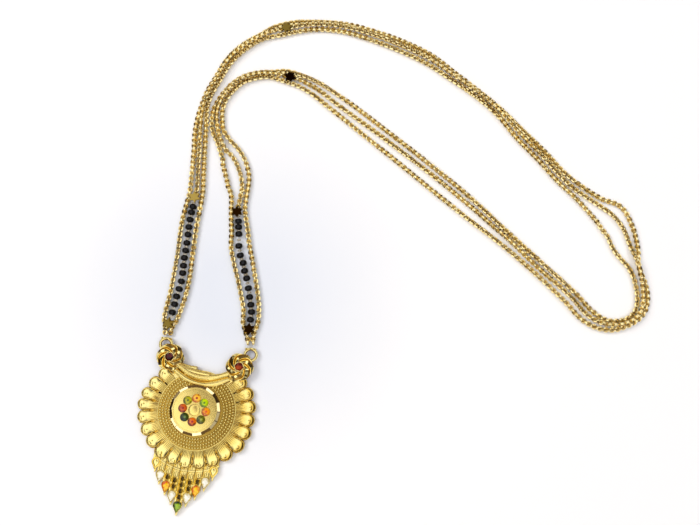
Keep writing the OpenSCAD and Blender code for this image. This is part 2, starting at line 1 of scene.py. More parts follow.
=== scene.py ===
# %% [markdown]
# # A mangalsutra, link by link
# The necklace is three strands of fine gold chain, two short runs of black glass beads, six small
# star spacers and an enamelled flower pendant. The construction model already fixes where every
# piece lies. This lesson dresses it: each step works out one surface with numpy, hangs it on the
# model's body and gives it the finish of the real piece.

import math
import bpy
import numpy as np
from mathutils import Matrix


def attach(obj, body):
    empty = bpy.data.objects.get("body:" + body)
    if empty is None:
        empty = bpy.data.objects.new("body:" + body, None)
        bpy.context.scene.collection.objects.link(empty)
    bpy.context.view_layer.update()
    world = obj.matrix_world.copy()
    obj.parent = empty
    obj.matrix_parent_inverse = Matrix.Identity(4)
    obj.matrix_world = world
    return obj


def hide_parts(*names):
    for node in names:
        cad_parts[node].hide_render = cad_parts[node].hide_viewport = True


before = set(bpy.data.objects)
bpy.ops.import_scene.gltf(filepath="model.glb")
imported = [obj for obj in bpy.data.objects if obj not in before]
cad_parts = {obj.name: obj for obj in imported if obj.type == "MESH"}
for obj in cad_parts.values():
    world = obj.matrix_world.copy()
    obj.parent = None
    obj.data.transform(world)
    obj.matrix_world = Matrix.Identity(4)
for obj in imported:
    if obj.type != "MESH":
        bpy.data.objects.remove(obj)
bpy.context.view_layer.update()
MM = 0.001
BODY = "root"
print("solids in the frame:", len(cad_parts))

# %% [markdown]
# ## Where we stand
# The necklace lies on a white table and is looked at from almost straight above, 12 degrees off
# the vertical. The camera stands 32 cm away: any nearer, the pendant would grow against the far end
# of the loop. Depth of field stays off, so that every link is sharp. A constraint could keep the
# camera turned to the necklace, but three axes worked out once do the same and serve the lamps too.
# The colours go to the picture without a film curve, so that yellow gold stays yellow.


# %% Camera
def aim(thing, target, distance, azimuth, elevation):
    """Puts a lamp or camera at target + distance * (sin a cos e, -cos a cos e, sin e), with azimuth
    a and elevation e in degrees and lengths in millimetres, and turns it to look back."""
    a, e = math.radians(azimuth), math.radians(elevation)
    back = np.array([math.sin(a) * math.cos(e), -math.cos(a) * math.cos(e), math.sin(e)])
    thing.location = (np.array(target) + distance * back) * MM
    z, x = back, np.cross([0, 1, 0], back)
    x = x / np.linalg.norm(x)
    y = np.cross(z, x)
    thing.rotation_mode = "QUATERNION"
    thing.rotation_quaternion = Matrix(np.stack([x, y, z], 1).tolist()).to_quaternion()
    bpy.context.scene.collection.objects.link(thing)


LENS_MM, FILM_MM = 45.3, 36
LOOKED_AT, CAMERA_DISTANCE, CAMERA_ELEVATION = [-16.5, -3, 0], 318, 78
camera = bpy.data.objects.new("camera", bpy.data.cameras.new("camera"))
camera.data.lens = LENS_MM
camera.data.sensor_width = FILM_MM
camera.data.clip_start = 10 * MM
aim(camera, LOOKED_AT, CAMERA_DISTANCE, 0, CAMERA_ELEVATION)
bpy.context.scene.camera = camera
bpy.context.scene.view_settings.view_transform = "Standard"
print("camera at", [round(v, 4) for v in camera.location])

# %% [markdown]
# ## Solids from arrays
# Jewellery repeats a few shapes many times, so the whole necklace needs only three tools. `skin`
# closes a grid of points into a solid, `copies` sets one solid out at many places at once, and
# `carried` carries a wire's outline along a path. Curves and array modifiers could do much of this,
# but whole arrays make a thousand links as quickly as one and leave nothing to apply.


# %% Closed skins and copies
def skin(grid, ring=False):
    """Closed surface over a grid of points (rows, columns, 3). Each row closes on itself. A ring
    joins its last row to its first; otherwise a fan from each end row's mean point shuts the
    end. The sign of the enclosed volume decides which way the faces turn."""
    rows, columns = grid.shape[:2]
    points = grid.reshape(-1, 3)
    row = np.arange(rows if ring else rows - 1)[:, None]
    column = np.arange(columns)[None, :]
    after = (column + 1) % columns
    a, b = row * columns + column, row * columns + after
    c, d = (row + 1) % rows * columns + column, (row + 1) % rows * columns + after
    faces = np.stack([a, b, c, b, d, c], -1).reshape(-1, 3)
    if not ring:
        points = np.concatenate([points, grid[[0, -1]].mean(axis=1)])
        k, n = np.arange(columns), (np.arange(columns) + 1) % columns
        last, low = (rows - 1) * columns, rows * columns
        foot = np.stack([n, k, np.full(columns, low)], -1)
        head = np.stack([last + k, last + n, np.full(columns, low + 1)], -1)
        faces = np.concatenate([faces, foot, head])
    v = (points - points.mean(axis=0))[faces]
    volume = np.einsum("ij,ij->", v[:, 0], np.cross(v[:, 1], v[:, 2]))
    return points, faces if volume > 0 else faces[:, ::-1]


def join(*parts):
    """Several solids as one: faces count on from the points of the solids before."""
    starts = np.cumsum([0] + [len(p[0]) for p in parts[:-1]])
    return (
        np.concatenate([p[0] for p in parts]),
        np.concatenate([p[1] + s for p, s in zip(parts, starts)]),
    )


def copies(part, origins, x_axes, y_axes, z_axes):
    """One solid at many places: each point is origin + x * x_axis + y * y_axis + z * z_axis."""
    points, faces = part
    axes = np.stack(np.broadcast_arrays(x_axes, y_axes, z_axes), 1)
    axes = np.broadcast_to(axes, (len(origins), 3, 3))
    made = origins[:, None] + np.einsum("pi,nij->npj", points, axes)
    starts = np.arange(len(origins))[:, None, None] * len(points)
    return made.reshape(-1, 3), (faces + starts).reshape(-1, 3)


def unit(v):
    """Vectors of length one."""
    return v / np.maximum(np.linalg.norm(v, axis=-1, keepdims=True), 1e-12)


# %% Wires, turned pieces and smooth lines
def carried(path, outline, closed=False, up=(0, 0, 1)):
    """An outline (points of across, over) carried along a path: path point + across * side +
    over * top, where side is square to the path and to up, and top to both."""
    if closed:
        ahead = np.roll(path, -1, 0) - np.roll(path, 1, 0)
    else:
        ahead = np.gradient(path, axis=0)
    side = unit(np.cross(ahead, np.array(up, float)))
    top = unit(np.cross(side, ahead))
    outline = np.asarray(outline, float)
    if outline.ndim == 2:
        outline = outline[None]
    grid = path[:, None] + outline[..., 0:1] * side[:, None] + outline[..., 1:2] * top[:, None]
    return skin(grid, ring=closed)


def oval(a, b, n, start=0.0):
    """n points round an ellipse: (a cos t, b sin t)."""
    t = start + np.arange(n) * 2 * np.pi / n
    return np.stack([a * np.cos(t), b * np.sin(t)], -1)


def turned(profile, columns, ring=False):
    """A profile (radius, height) turned round the z axis: (r cos t, r sin t, z)."""
    profile = np.asarray(profile, float)
    t = np.arange(columns) * 2 * np.pi / columns
    r, z = profile[:, 0:1], np.repeat(profile[:, 1:2], columns, 1)
    return skin(np.stack([r * np.cos(t), r * np.sin(t), z], -1), ring)


def wire_ring(r, wire, n=40, sides=10):
    """A ring of round wire: the wire's circle turned at radius r."""
    return turned(oval(wire, wire, sides) + [r, 0], n, ring=True)


def moved(part, by):
    """A solid moved by (x, y, z)."""
    return part[0] + np.asarray(by, float), part[1]


def smooth_line(rows, at):
    """Cubic curve through rows whose first two numbers are x and y. Between two rows it is the
    Hermite blend of their values and of slopes taken over the chord lengths on both sides; at
    lists the chord lengths at which it is read."""
    rows = np.asarray(rows, float)
    s = chords(rows)
    h = np.diff(s)
    rate = np.diff(rows, axis=0) / h[:, None]
    slope = np.empty_like(rows)
    slope[1:-1] = (rate[:-1] * h[1:, None] + rate[1:] * h[:-1, None]) / (h[1:] + h[:-1])[:, None]
    slope[0], slope[-1] = rate[0], rate[-1]
    k = np.clip(np.searchsorted(s, at, side="right") - 1, 0, len(h) - 1)
    t = ((at - s[k]) / h[k])[:, None]
    a, b, m, n = rows[k], rows[k + 1], slope[k] * h[k, None], slope[k + 1] * h[k, None]
    from_a, from_b = (2 * t - 3) * t * t + 1, (3 - 2 * t) * t * t
    return from_a * a + ((t - 2) * t + 1) * t * m + from_b * b + (t - 1) * t * t * n


def chords(rows):
    """Length along a line of points, from its start to each of them, seen from above."""
    step = np.linalg.norm(np.diff(np.asarray(rows, float)[:, :2], axis=0), axis=1)
    return np.concatenate([[0], np.cumsum(step)])


# %% [markdown]
# ## Materials: one metal, several surfaces
# The necklace is brass under a thin layer of bright yellow gold. Cast work, drawn wire and the
# chain's pressed links take the same plating but not the same polish, so each gets a metal of its
# own. Dirt gathers in the hollows of cast work, and shade falls there; both are painted into the
# colour. Pointiness or ambient occlusion could find such hollows, but both follow the mesh and not
# the maker, so a shape that has hollows carries a number from 0 to 1 at every point, for painted
# shade and dirt together, and the finish darkens by it. The same number paints shade on the
# undersides of round pieces and on the right-hand side of the pendant, and dark reflections on stars.


# %% Colour and node helpers
def linear(hex_colour):
    """sRGB hex to linear light: c / 12.92 in the darkest part, ((c + 0.055) / 1.055) ** 2.4 above."""
    c = np.array([int(hex_colour[i:i + 2], 16) for i in (1, 3, 5)]) / 255
    c = np.where(c <= 0.04045, c / 12.92, ((c + 0.055) / 1.055) ** 2.4)
    return (*c.tolist(), 1.0)


def add_node(tree, kind, inputs=None, **settings):
    """Adds one node. Settings are its own; inputs give each socket a value or another's output."""
    made = tree.nodes.new(kind)
    for key, value in settings.items():
        setattr(made, key, value)
    for key, value in (inputs or {}).items():
        if isinstance(value, bpy.types.NodeSocket):
            tree.links.new(value, made.inputs[key])
        else:
            made.inputs[key].default_value = value
    return made


def finish(name, **constants):
    """An empty finish: its material, its node tree, its shader and the object's own coordinates.
    A constant is set on the shader's socket of that name."""
    made = bpy.data.materials.new(name)
    made.use_nodes = True
    tree = made.node_tree
    shader = tree.nodes["Principled BSDF"]
    for key, value in constants.items():
        shader.inputs[key.replace("_", " ")].default_value = value
    coordinates = add_node(tree, "ShaderNodeTexCoord").outputs["Object"]
    return made, tree, shader, coordinates


def per_mm(size):
    """Scale of a pattern whose cells are that many millimetres wide, on coordinates in metres."""
    return 1 / (size * MM)


# %% Gold finishes
def plated_gold(name, light, deep, amber, grime_and_shade, rough, grain_mm, grain):
    """Gold plate on brass: colour drifts between light and deep over about 4 mm. As the painted
    shade and dirt grow to a half, painted light thrown back and forth deepens it to amber; past
    that, painted shade and dirt brown it. Grit of grain_mm shakes the roughness between 0.8 and
    1.25 times rough, and the relief by grain."""
    made, tree, shader, place = finish(name, Metallic=1.0)
    drift = add_node(tree, "ShaderNodeTexNoise", {"Vector": place, "Scale": per_mm(4), "Detail": 3.0})
    grit = add_node(tree, "ShaderNodeTexNoise", {"Vector": place, "Scale": per_mm(grain_mm), "Detail": 2.0})
    painted_shade_and_dirt = add_node(tree, "ShaderNodeAttribute", attribute_name="painted_shade_and_dirt").outputs["Fac"]
    gold = add_node(
        tree, "ShaderNodeMix",
        {0: drift.outputs[0], 6: linear(light), 7: linear(deep)},
        data_type="RGBA",
    )
    colour = gold.outputs[2]
    # Painted light and shade: amber stands for light thrown back and forth, the last tone for painted shade
    # and dirt
    for low, high, tone in [(0.0, 0.5, amber), (0.5, 1.0, grime_and_shade)]:
        span = {"Value": painted_shade_and_dirt, "From Min": low, "From Max": high}
        share = add_node(tree, "ShaderNodeMapRange", span).outputs[0]
        tones = {0: share, 6: colour, 7: linear(tone)}
        colour = add_node(tree, "ShaderNodeMix", tones, data_type="RGBA").outputs[2]
    tree.links.new(colour, shader.inputs["Base Color"])
    dull = add_node(
        tree, "ShaderNodeMapRange",
        {
            "Value": grit.outputs[0], "From Min": 0.3, "From Max": 0.7,
            "To Min": rough * 0.8, "To Max": rough * 1.25,
        },
    )
    tree.links.new(dull.outputs[0], shader.inputs["Roughness"])
    bump = add_node(
        tree, "ShaderNodeBump",
        {"Height": grit.outputs[0], "Strength": grain, "Distance": 0.05 * MM},
    )
    tree.links.new(bump.outputs[0], shader.inputs["Normal"])
    return made


# Cast brass, gold plated and tumbled: a satin that still throws soft highlights.
cast_gold = plated_gold(
    "satin_gold_plate_on_cast_brass", "#FFEE9E", "#F9DE80", "#E4C058", "#60440E",
    rough=0.19, grain_mm=0.16, grain=0.15,
)
# Drawn wire, plated after polishing: bright all round.
wire_gold = plated_gold(
    "bright_gold_plate_on_drawn_wire", "#FFF0A8", "#F8DE86", "#DCAC42", "#4A2A06",
    rough=0.13, grain_mm=0.3, grain=0.08,
)
# Pressed chain links, plated in bulk: paler, with small dull scuffs from rubbing on each other.
link_gold = plated_gold(
    "gold_plate_on_pressed_chain_links", "#FFF0B8", "#F4D88C", "#BC9240", "#462C06",
    rough=0.14, grain_mm=0.2, grain=0.15,
)
# Eye pins between the beads: gold wire painted pale, a painted highlight for the white glints on their
# eyes.
pin_gold_painted_pale = plated_gold(
    "gold_plate_on_eye_pins_painted_pale", "#FFFAEC", "#F2EAD0", "#B4A478", "#6E5428",
    rough=0.2, grain_mm=0.3, grain=0.08,
)
# Stamped sheet, burnished flat: it mirrors like a small plate.
star_gold = plated_gold(
    "burnished_gold_plate_on_stamped_sheet", "#F2D888", "#E6C46C", "#8C7430", "#24120A",
    rough=0.06, grain_mm=0.6, grain=0.02,
)
# The medallion's top is brushed and then plated: a wide, pale sheen.
brushed_gold = plated_gold(
    "brushed_gold_plate_on_turned_brass", "#FCE890", "#F0D06E", "#C89A3A", "#5A3404",
    rough=0.26, grain_mm=0.12, grain=0.2,
)
# Its facets were turned with a sharp tool and left as cut: each is a small mirror.
facet_gold = plated_gold(
    "bright_cut_gold_plate_on_turned_brass", "#FBE8B4", "#F2D48C", "#A87424", "#4A2804",
    rough=0.07, grain_mm=0.4, grain=0.03,
)
print("gold finishes: cast, wire, link, pin, star, brushed, facet")


# %% Add a piece
def add_piece(name, part, material, replaces=(), painted_shade_and_dirt=None, crease=40):
    """Puts a solid (millimetres) into a mesh object, in metres, at the origin, riding on the
    necklace's body in place of the solids that it replaces. The painted shade and dirt of each
    point go with it. Edges sharper than the crease angle stay sharp, all others shade smooth."""
    points, faces = part
    mesh = bpy.data.meshes.new(name)
    mesh.vertices.add(len(points))
    mesh.vertices.foreach_set("co", (points * MM).astype(np.float32).ravel())
    mesh.loops.add(faces.size)
    mesh.loops.foreach_set("vertex_index", faces.astype(np.int32).ravel())
    mesh.polygons.add(len(faces))
    mesh.polygons.foreach_set("loop_start", np.arange(0, faces.size, 3, dtype=np.int32))
    mesh.polygons.foreach_set("use_smooth", np.ones(len(faces), bool))
    mesh.update(calc_edges=True)
    if painted_shade_and_dirt is not None:
        made = mesh.attributes.new("painted_shade_and_dirt", "FLOAT", "POINT")
        made.data.foreach_set("value", painted_shade_and_dirt.astype(np.float32))
    mesh.set_sharp_from_angle(angle=math.radians(crease))
    mesh.materials.append(material)
    piece = bpy.data.objects.new(name, mesh)
    bpy.context.scene.collection.objects.link(piece)
    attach(piece, BODY)
    if replaces:
        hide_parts(*replaces)
    low, high = points.min(0), points.max(0)
    print(f"{name}: {len(faces)} triangles, {np.round(high - low, 1)} mm, from z {low[2]:.2f}")
    return piece


# %% [markdown]
# ## The chain
# Each strand is a chain of round links, pressed from flattened wire, each turned a quarter against
# the next. One link is that wire carried round an oval. An array modifier on a curve would
# space links evenly but turn them all alike; worked out in numpy, each link gets a roll of its
# own, as a chain that was dropped on a table has. A strand's line comes from the same route as the
# solid model, so the links lie where the solids do.

# %% Route of the strands
STRAND_D = 1.8
STRAND_PITCH = STRAND_D + 0.3
# Rows of the route between which the middle strand runs
MIDDLE_FROM, MIDDLE_TO = 9, 75
# Columns: x and y of the middle strand, and how far the outer strand lies to the left of the
# travel and the inner strand to the right of it
ROUTE = np.array([
    [-81, -29, 0.98, 0.98], [-80.8, -26.8, 1.2, 1.2], [-80.2, -23.6, 2.3, 2.3],
    [-79.6, -21.3, 2.5, 2.5], [-78.3, -15.7, 2.6, 2.9], [-77, -10, 3, 2.8], [-75.9, 0.5, 2.7, 2.7],
    [-74.8, 11.5, 2.75, 2.75], [-73.6, 18, 2.6, 2.55], [-72.9, 21.6, 2.5, 2.4], [-72.3, 30, 2.4, 2],
    [-72.2, 39, 2, 2], [-72, 47, 2, 2], [-71.6, 52, 1.6, 1.6], [-70.8, 57, 1.1, 1.1],
    [-69.4, 61.4, 1, 1], [-66.4, 67.2, 1, 1], [-62, 75.1, 1.05, 1.05], [-56, 81, 1.05, 1.05],
    [-49.2, 85, 1.1, 1.1], [-46.6, 86.2, 1.6, 1.6], [-43.6, 87.2, 2, 2], [-37.6, 88.6, 2, 2],
    [-30.6, 89.2, 1.6, 1.6], [-18.4, 88.2, 1.6, 1.6], [-9, 85.5, 1.85, 1.85], [2.5, 81, 2, 2],
    [13.8, 75.1, 1.9, 1.9], [21.5, 69.2, 1.5, 1.5], [39.5, 53.9, 1.3, 1.3], [47, 45, 1.9, 1.9],
    [54.8, 36.4, 2, 2], [61, 28.8, 2.2, 2], [67.5, 23, 2.4, 2.6], [74.2, 18.2, 2.7, 4.8],
    [79.3, 14.2, 4.5, 6.6], [82.6, 9.4, 3.5, 6.6], [84.4, 4, 2.8, 6.3], [85.5, 0.4, 2, 5.4],
    [85.9, -1.3, 1.5, 4.6], [86.3, -3, 0.95, 3.7], [87.1, -7.4, 0.95, 2.3], [87.8, -12, 1.6, 2],
    [87.8, -16.5, 1.8, 1.8], [86.9, -20.3, 1.6, 1.6], [84.5, -23.4, 1.15, 1.3], [81, -25.3, 1.1, 1.3],
    [77, -26, 1.6, 1.5], [73, -25.4, 2, 1.8], [68.5, -22.8, 2.5, 2.2], [62.3, -15.7, 2.8, 2.1],
    [54.2, -8, 2.4, 2.2], [40.2, 5.7, 3, 2], [27.5, 17.7, 4.3, 2.4], [-3.3, 43.4, 3.9, 2.85],
    [-21.7, 57.6, 2.9, 3.15], [-30.2, 64.3, 2.7, 2.4], [-35.8, 67.2, 2.4, 2], [-41.4, 68.7, 2, 2],
    [-43.8, 69, 1.5, 1.5], [-46, 69.2, 1.05, 1.05], [-52, 68.8, 1, 1], [-57.1, 67, 1.05, 1.05],
    [-61.5, 63.1, 1.15, 1.15], [-64.3, 59, 1.2, 1.2], [-65.9, 54.6, 1.8, 1.6], [-66, 50, 2, 2],
    [-65.4, 46.4, 2, 2], [-64.2, 42.9, 2.8, 1.6], [-62.9, 40, 3.6, 2], [-59.8, 36.6, 3.4, 4.4],
    [-57.3, 31.5, 3.2, 5.2], [-56.2, 27, 2.6, 5.2], [-56, 24, 2, 4.8], [-56.6, 20.6, 2.1, 3.3],
    [-57.3, 17, 2.5, 2.5], [-57.1, 13, 2.75, 2.55], [-56.7, 8, 3.2, 2.7], [-56.5, 2.5, 3.7, 2.9],
    [-55.2, -2.6, 3.5, 3.2], [-53.6, -9, 3.1, 3.1], [-52.3, -15.3, 2.9, 3], [-51.6, -21, 2.7, 2.7],
    [-51.8, -25.5, 2.5, 2.5], [-51.9, -28.6, 1.5, 1.4], [-51.7, -31, 0.98, 0.98],
    [-51.6, -32.7, 0.98, 0.98]
])
# Number of steps along a strand over which the middle strand's rise is evened out
EVENED = 13
print("rows of the route:", len(ROUTE))


def strand(side, first, last, step=0.25):
    """Line of one strand: the route's middle line, shifted square to its own direction by the
    outer (side 1) or inner (side -1) distance. The middle strand (side 0) rides over its
    neighbours where they close in: height = sqrt(pitch squared - distance squared)."""
    s = chords(ROUTE)
    row = smooth_line(ROUTE, np.arange(s[first], s[last], step))
    ahead = unit(np.gradient(row[:, :2], axis=0))
    shift = {1: row[:, 2], 0: 0 * row[:, 2], -1: -row[:, 3]}[side][:, None]
    near = np.minimum(row[:, 2], row[:, 3])
    lift = np.sqrt(np.maximum(0, STRAND_PITCH ** 2 - near ** 2)) if side == 0 else 0 * near
    lift = np.convolve(np.pad(lift, EVENED // 2, "edge"), np.ones(EVENED) / EVENED, "valid")
    left = np.stack([-ahead[:, 1], ahead[:, 0]], -1)
    return np.column_stack([row[:, :2] + shift * left, STRAND_D / 2 + lift])


# %% Links
LINK_LONG, LINK_WIDE, LINK_PITCH = 2.24, 2.06, 1.06
# Half width and half height of the flattened wire, and sides of its outline and of the link
LINK_WIRE = [0.36, 0.42]
WIRE_SIDES, LINK_SIDES = 6, 14
rng = np.random.default_rng(7)


def chain(line, pitch=LINK_PITCH):
    """Links at equal steps along a line. Link n is rolled about the line by a slow wander, which is
    0.3 sin(s / 17) + 0.2 sin(s / 6.1) from chance starts, by a small jitter, and by a quarter turn
    when n is odd. Tarnish and painted shade sit on the inner side of the wire."""
    step = np.linalg.norm(np.diff(line, axis=0), axis=1)
    s = np.concatenate([[0], np.cumsum(step)])
    count = int(s[-1] // pitch)
    at = (np.arange(count) + 0.5) * s[-1] / count
    centre = np.stack([np.interp(at, s, line[:, k]) for k in range(3)], -1)
    centre[:, 2] += (LINK_WIDE - STRAND_D) / 2
    ahead = unit(np.stack([np.interp(at, s, g) for g in np.gradient(line, axis=0).T], -1))
    side = unit(np.cross([0, 0, 1.0], ahead))
    top = np.cross(ahead, side)
    wander = 0.3 * np.sin(at / 17 + rng.uniform(0, 6)) + 0.2 * np.sin(at / 6.1 + rng.uniform(0, 6))
    roll = wander + rng.normal(0, 0.07, count) + np.pi / 2 * (np.arange(count) % 2)
    c, n = np.cos(roll)[:, None], np.sin(roll)[:, None]
    a, b = LINK_LONG / 2 - LINK_WIRE[0], LINK_WIDE / 2 - LINK_WIRE[0]
    path = np.column_stack([oval(a, b, LINK_SIDES), np.zeros(LINK_SIDES)])
    outline = oval(*LINK_WIRE, WIRE_SIDES, start=0.5)
    link = carried(path, outline, closed=True)
    # Tarnish and painted shade on the inner side of the wire, facing the link's hole
    tarnish_and_shade = np.tile(0.85 * (outline[:, 0] < -0.05), LINK_SIDES * count)
    return copies(link, centre, ahead, c * side + n * top, c * top - n * side), tarnish_and_shade


for name, side, first, last in [
    ("outer", 1, 0, len(ROUTE) - 1),
    ("middle", 0, MIDDLE_FROM, MIDDLE_TO),
    ("inner", -1, 0, len(ROUTE) - 1),
]:
    links, tarnish_and_shade = chain(strand(side, first, last))
    add_piece(f"chain_links_{name}", links, link_gold, [f"chain_{name}"], tarnish_and_shade)

# %% [markdown]
# ## Black beads
# The black beads are what makes the necklace a mangalsutra. Each is a short glass barrel with a
# drilled hole, wider than it is long. Between two beads the eye of a wire pin shows as a small
# gold loop. A squashed sphere would be quicker, but a bead is a closed profile turned round its
# bore, so the hole and the small flat round it are really there.

# %% Bead profile and its runs
BEAD_D, BEAD_L, BEAD_BORE = 2.7, 1.9, 0.43
BEAD_Z = BEAD_D / 2 + 0.05
# Middle of each bead, x and y, from the lower star to the upper one
BEADS_LEFT = [
    [-79.6, -21.4], [-78.9, -18.5], [-78.3, -15.7], [-77.5, -13], [-76.8, -10.2], [-76.5, -7.2],
    [-76.3, -4.5], [-76.1, -1.6], [-75.7, 1.1], [-75.4, 3.9], [-75.1, 7], [-74.9, 9.8],
    [-74.6, 12.6], [-74.2, 15.3], [-73.7, 17.45]
]
BEADS_RIGHT = [
    [-51.8, -24.05], [-51.5, -21.3], [-51.8, -18.7], [-52.3, -15.9], [-52.8, -12.7], [-53.5, -9.1],
    [-54.3, -6.4], [-54.9, -3.5], [-56, -0.7], [-56.6, 2.8], [-56.7, 7.2], [-56.9, 9.8],
    [-57, 11.95]
]
# Both ends of each row of eye pins, hidden under the stars
THREAD_LEFT_ENDS = [[-80.3, -24.6], [-73.1, 20.2]]
THREAD_RIGHT_ENDS = [[-52, -27.4], [-57.3, 15.6]]


def bead_frames(beads, ends):
    """Bead middles, each with the direction from the bead before it to the bead after it."""
    places = np.array([ends[0], *beads, ends[1]], float)
    ahead = unit(places[2:] - places[:-2])
    centre = np.column_stack([places[1:-1], np.full(len(beads), BEAD_Z)])
    return centre, np.column_stack([ahead, 0 * ahead[:, 0]])


# A bead's radius is bore + flat + (half width - bore - flat) * (1 - |t| ** 2.6) ** 0.5, where t
# runs along it, stops short of its poles by a little, and flat is the ring round its bore.
BEAD_FLAT, BEAD_STOP, BORE_EDGE = 0.08, 0.97, 0.12
t = np.linspace(-BEAD_STOP, BEAD_STOP, 15)
BEAD_PROFILE = np.concatenate([
    np.stack([
        BEAD_BORE + BEAD_FLAT + (BEAD_D / 2 - BEAD_BORE - BEAD_FLAT) * (1 - np.abs(t) ** 2.6) ** 0.5,
        t * BEAD_L / 2 / BEAD_STOP,
    ], -1),
    [[BEAD_BORE, BEAD_L / 2 - BORE_EDGE], [BEAD_BORE, -BEAD_L / 2 + BORE_EDGE]],
])
bead = turned(BEAD_PROFILE, 28, ring=True)
print("triangles in one bead:", len(bead[1]))

# %% Black glass, beads and eye pins
# Pressed glass, fire polished: nearly black, with a clear hard gloss.
black_glass, tree, shader, place = finish(
    "fire_polished_black_glass", Roughness=0.06, IOR=1.5, Specular_IOR_Level=0.3
)
tint = add_node(tree, "ShaderNodeTexNoise", {"Vector": place, "Scale": per_mm(1.2), "Detail": 2.0})
depth = add_node(
    tree, "ShaderNodeMix",
    {0: tint.outputs[0], 6: linear("#020203"), 7: linear("#0A0609")},
    data_type="RGBA",
)
tree.links.new(depth.outputs[2], shader.inputs["Base Color"])
ripple = add_node(
    tree, "ShaderNodeBump", {"Height": tint.outputs[0], "Strength": 0.12, "Distance": 0.1 * MM},
)
tree.links.new(ripple.outputs[0], shader.inputs["Normal"])
# Half width and half length of a pin's eye, and radius of the eye's wire and of the pin's
PIN_EYE, PIN_EYE_WIRE, PIN_WIRE = (0.26, 0.62), 0.16, 0.13

for side, beads, ends in [
    ("left", BEADS_LEFT, THREAD_LEFT_ENDS), ("right", BEADS_RIGHT, THREAD_RIGHT_ENDS),
]:
    centre, ahead = bead_frames(beads, ends)
    across = np.cross([0, 0, 1.0], ahead)
    up = np.broadcast_to([0, 0, 1.0], ahead.shape)
    run = copies(bead, centre, across, up, ahead)
    add_piece(f"black_beads_{side}", run, black_glass, [f"beads_{side}"])
    wire = np.array([ends[0], *beads, ends[1]], float)
    wire = np.column_stack([wire, np.full(len(wire), BEAD_Z)])
    between = (wire[1:] + wire[:-1]) / 2
    along = unit(wire[1:] - wire[:-1])
    round_eye = np.column_stack([oval(*PIN_EYE, 18), np.zeros(18)])
    loop = carried(round_eye, oval(PIN_EYE_WIRE, PIN_EYE_WIRE, 6), closed=True)
    eyes = copies(loop, between, along, np.cross([0, 0, 1.0], along), [0, 0, 1.0])
    pins = carried(smooth_line(wire, np.linspace(0, chords(wire)[-1], 90)), oval(PIN_WIRE, PIN_WIRE, 8))
    add_piece(f"eye_pins_{side}", join(pins, eyes), pin_gold_painted_pale, [f"bead_thread_{side}"])

# %% [markdown]
# ## Star spacers
# A stamped six-pointed star bridges the strands where they come together. The outline of such a
# star is two crossed triangles: within 30 degrees of a point its radius is half the reach
# divided by the cosine of 60 degrees less that angle. Cutting two triangles from a sheet with a
# Boolean would do as well, but a polar grid also gives the rim its small round. The sheet is nearly
# flat and polished, so a star shines or goes dark as a whole, and each one is bent a little its
# own way. How dark each one mirrors is also painted into its colour, as a brown painted reflection.

# %% Stars
STAR_REACH, STAR_Z, STAR_EDGE, STAR_TOP = 2.35, 2.0, 0.52, 0.6
STAR_COLUMNS, STAR_CREASE = 72, 28
# Columns: x, y, turn in degrees, how much the upper face rises per millimetre along x and along y,
# and how much painted dark reflection browns and darkens the whole star, from 0 to 1
STARS = [
    [-80.6, -25.4, 8, 0.03, 0, 0.66], [-73.1, 20.9, -4, 0.08, 0, 0.44],
    [-40.6, 87.9, 15, 0.06, -0.02, 0.72], [-39, 67.8, -12, 0.01, 0.07, 0.95],
    [-57.5, 15.4, 0, -0.022, 0, 0.75], [-52.2, -27.5, 2, -0.015, -0.066, 0.8],
]


def star():
    """Height = edge + 0.3 * (top - edge) * (1 - share ** 2), with share the distance from the middle
    as a part of the outline's radius, less a drop in the last rows that rounds the rim."""
    angle = np.arange(STAR_COLUMNS) * 2 * np.pi / STAR_COLUMNS
    off = np.abs((angle + np.pi / 6) % (np.pi / 3) - np.pi / 6)
    reach = np.minimum(STAR_REACH / 2 / np.cos(np.pi / 3 - off), STAR_REACH * 0.97)
    share = np.array([0.04, 0.16, 0.24, 0.4, 0.6, 0.8, 0.9, 0.96, 1.0, 1.0, 0.97])[:, None]
    drop = np.array([0, 0, 0, 0, 0, 0, 0, 0, 0.05, 0.48, 0.52])[:, None]
    z = STAR_EDGE + (STAR_TOP - STAR_EDGE) * (1 - share ** 2) * 0.3 - drop
    r = share * reach
    z = np.broadcast_to(z, r.shape)
    return skin(np.stack([r * np.cos(angle), r * np.sin(angle), np.maximum(z, 0)], -1))


for k, (x, y, turn, lean_x, lean_y, dark_reflection) in enumerate(STARS, 1):
    a = math.radians(turn + 90)
    points, faces = star()
    here = copies(
        (points, faces), np.array([[x, y, STAR_Z]]),
        [math.cos(a), math.sin(a), 0], [-math.sin(a), math.cos(a), 0], [0, 0, 1],
    )
    lift = lean_x * (here[0][:, 0] - x) + lean_y * (here[0][:, 1] - y)
    upper_face = points[:, 2] > STAR_EDGE / 2
    here[0][:, 2] += lift * upper_face
    # Painted dark reflection: the whole star is darkened and browned by its own amount
    tone = np.full(len(points), dark_reflection)
    add_piece(f"star_spacer_{k}", here, star_gold, [f"star_{k}"], tone, STAR_CREASE)


# %% [markdown]
# ## The pendant's frame
# The pendant hangs from the two jump rings, turned nine degrees against the necklace. It is easier
# to shape a round thing about its own middle, so each of its pieces is worked out there, in
# millimetres, and turned into place at the end. A turned parent object would do it too, but then
# the meshes would not carry their own place.

# %% Into the pendant's place
PENDANT_X, PENDANT_Y, PENDANT_TURN = -69.6, -56.0, math.radians(-9)
print("the pendant's middle, mm:", PENDANT_X, PENDANT_Y)


def in_pendant(part):
    """(x, y) turned by the pendant's angle and moved to its middle; the height stays."""
    c, s = math.cos(PENDANT_TURN), math.sin(PENDANT_TURN)
    p = part[0]
    x = PENDANT_X + c * p[:, 0] - s * p[:, 1]
    y = PENDANT_Y + s * p[:, 0] + c * p[:, 1]
    return np.column_stack([x, y, p[:, 2]]), part[1]


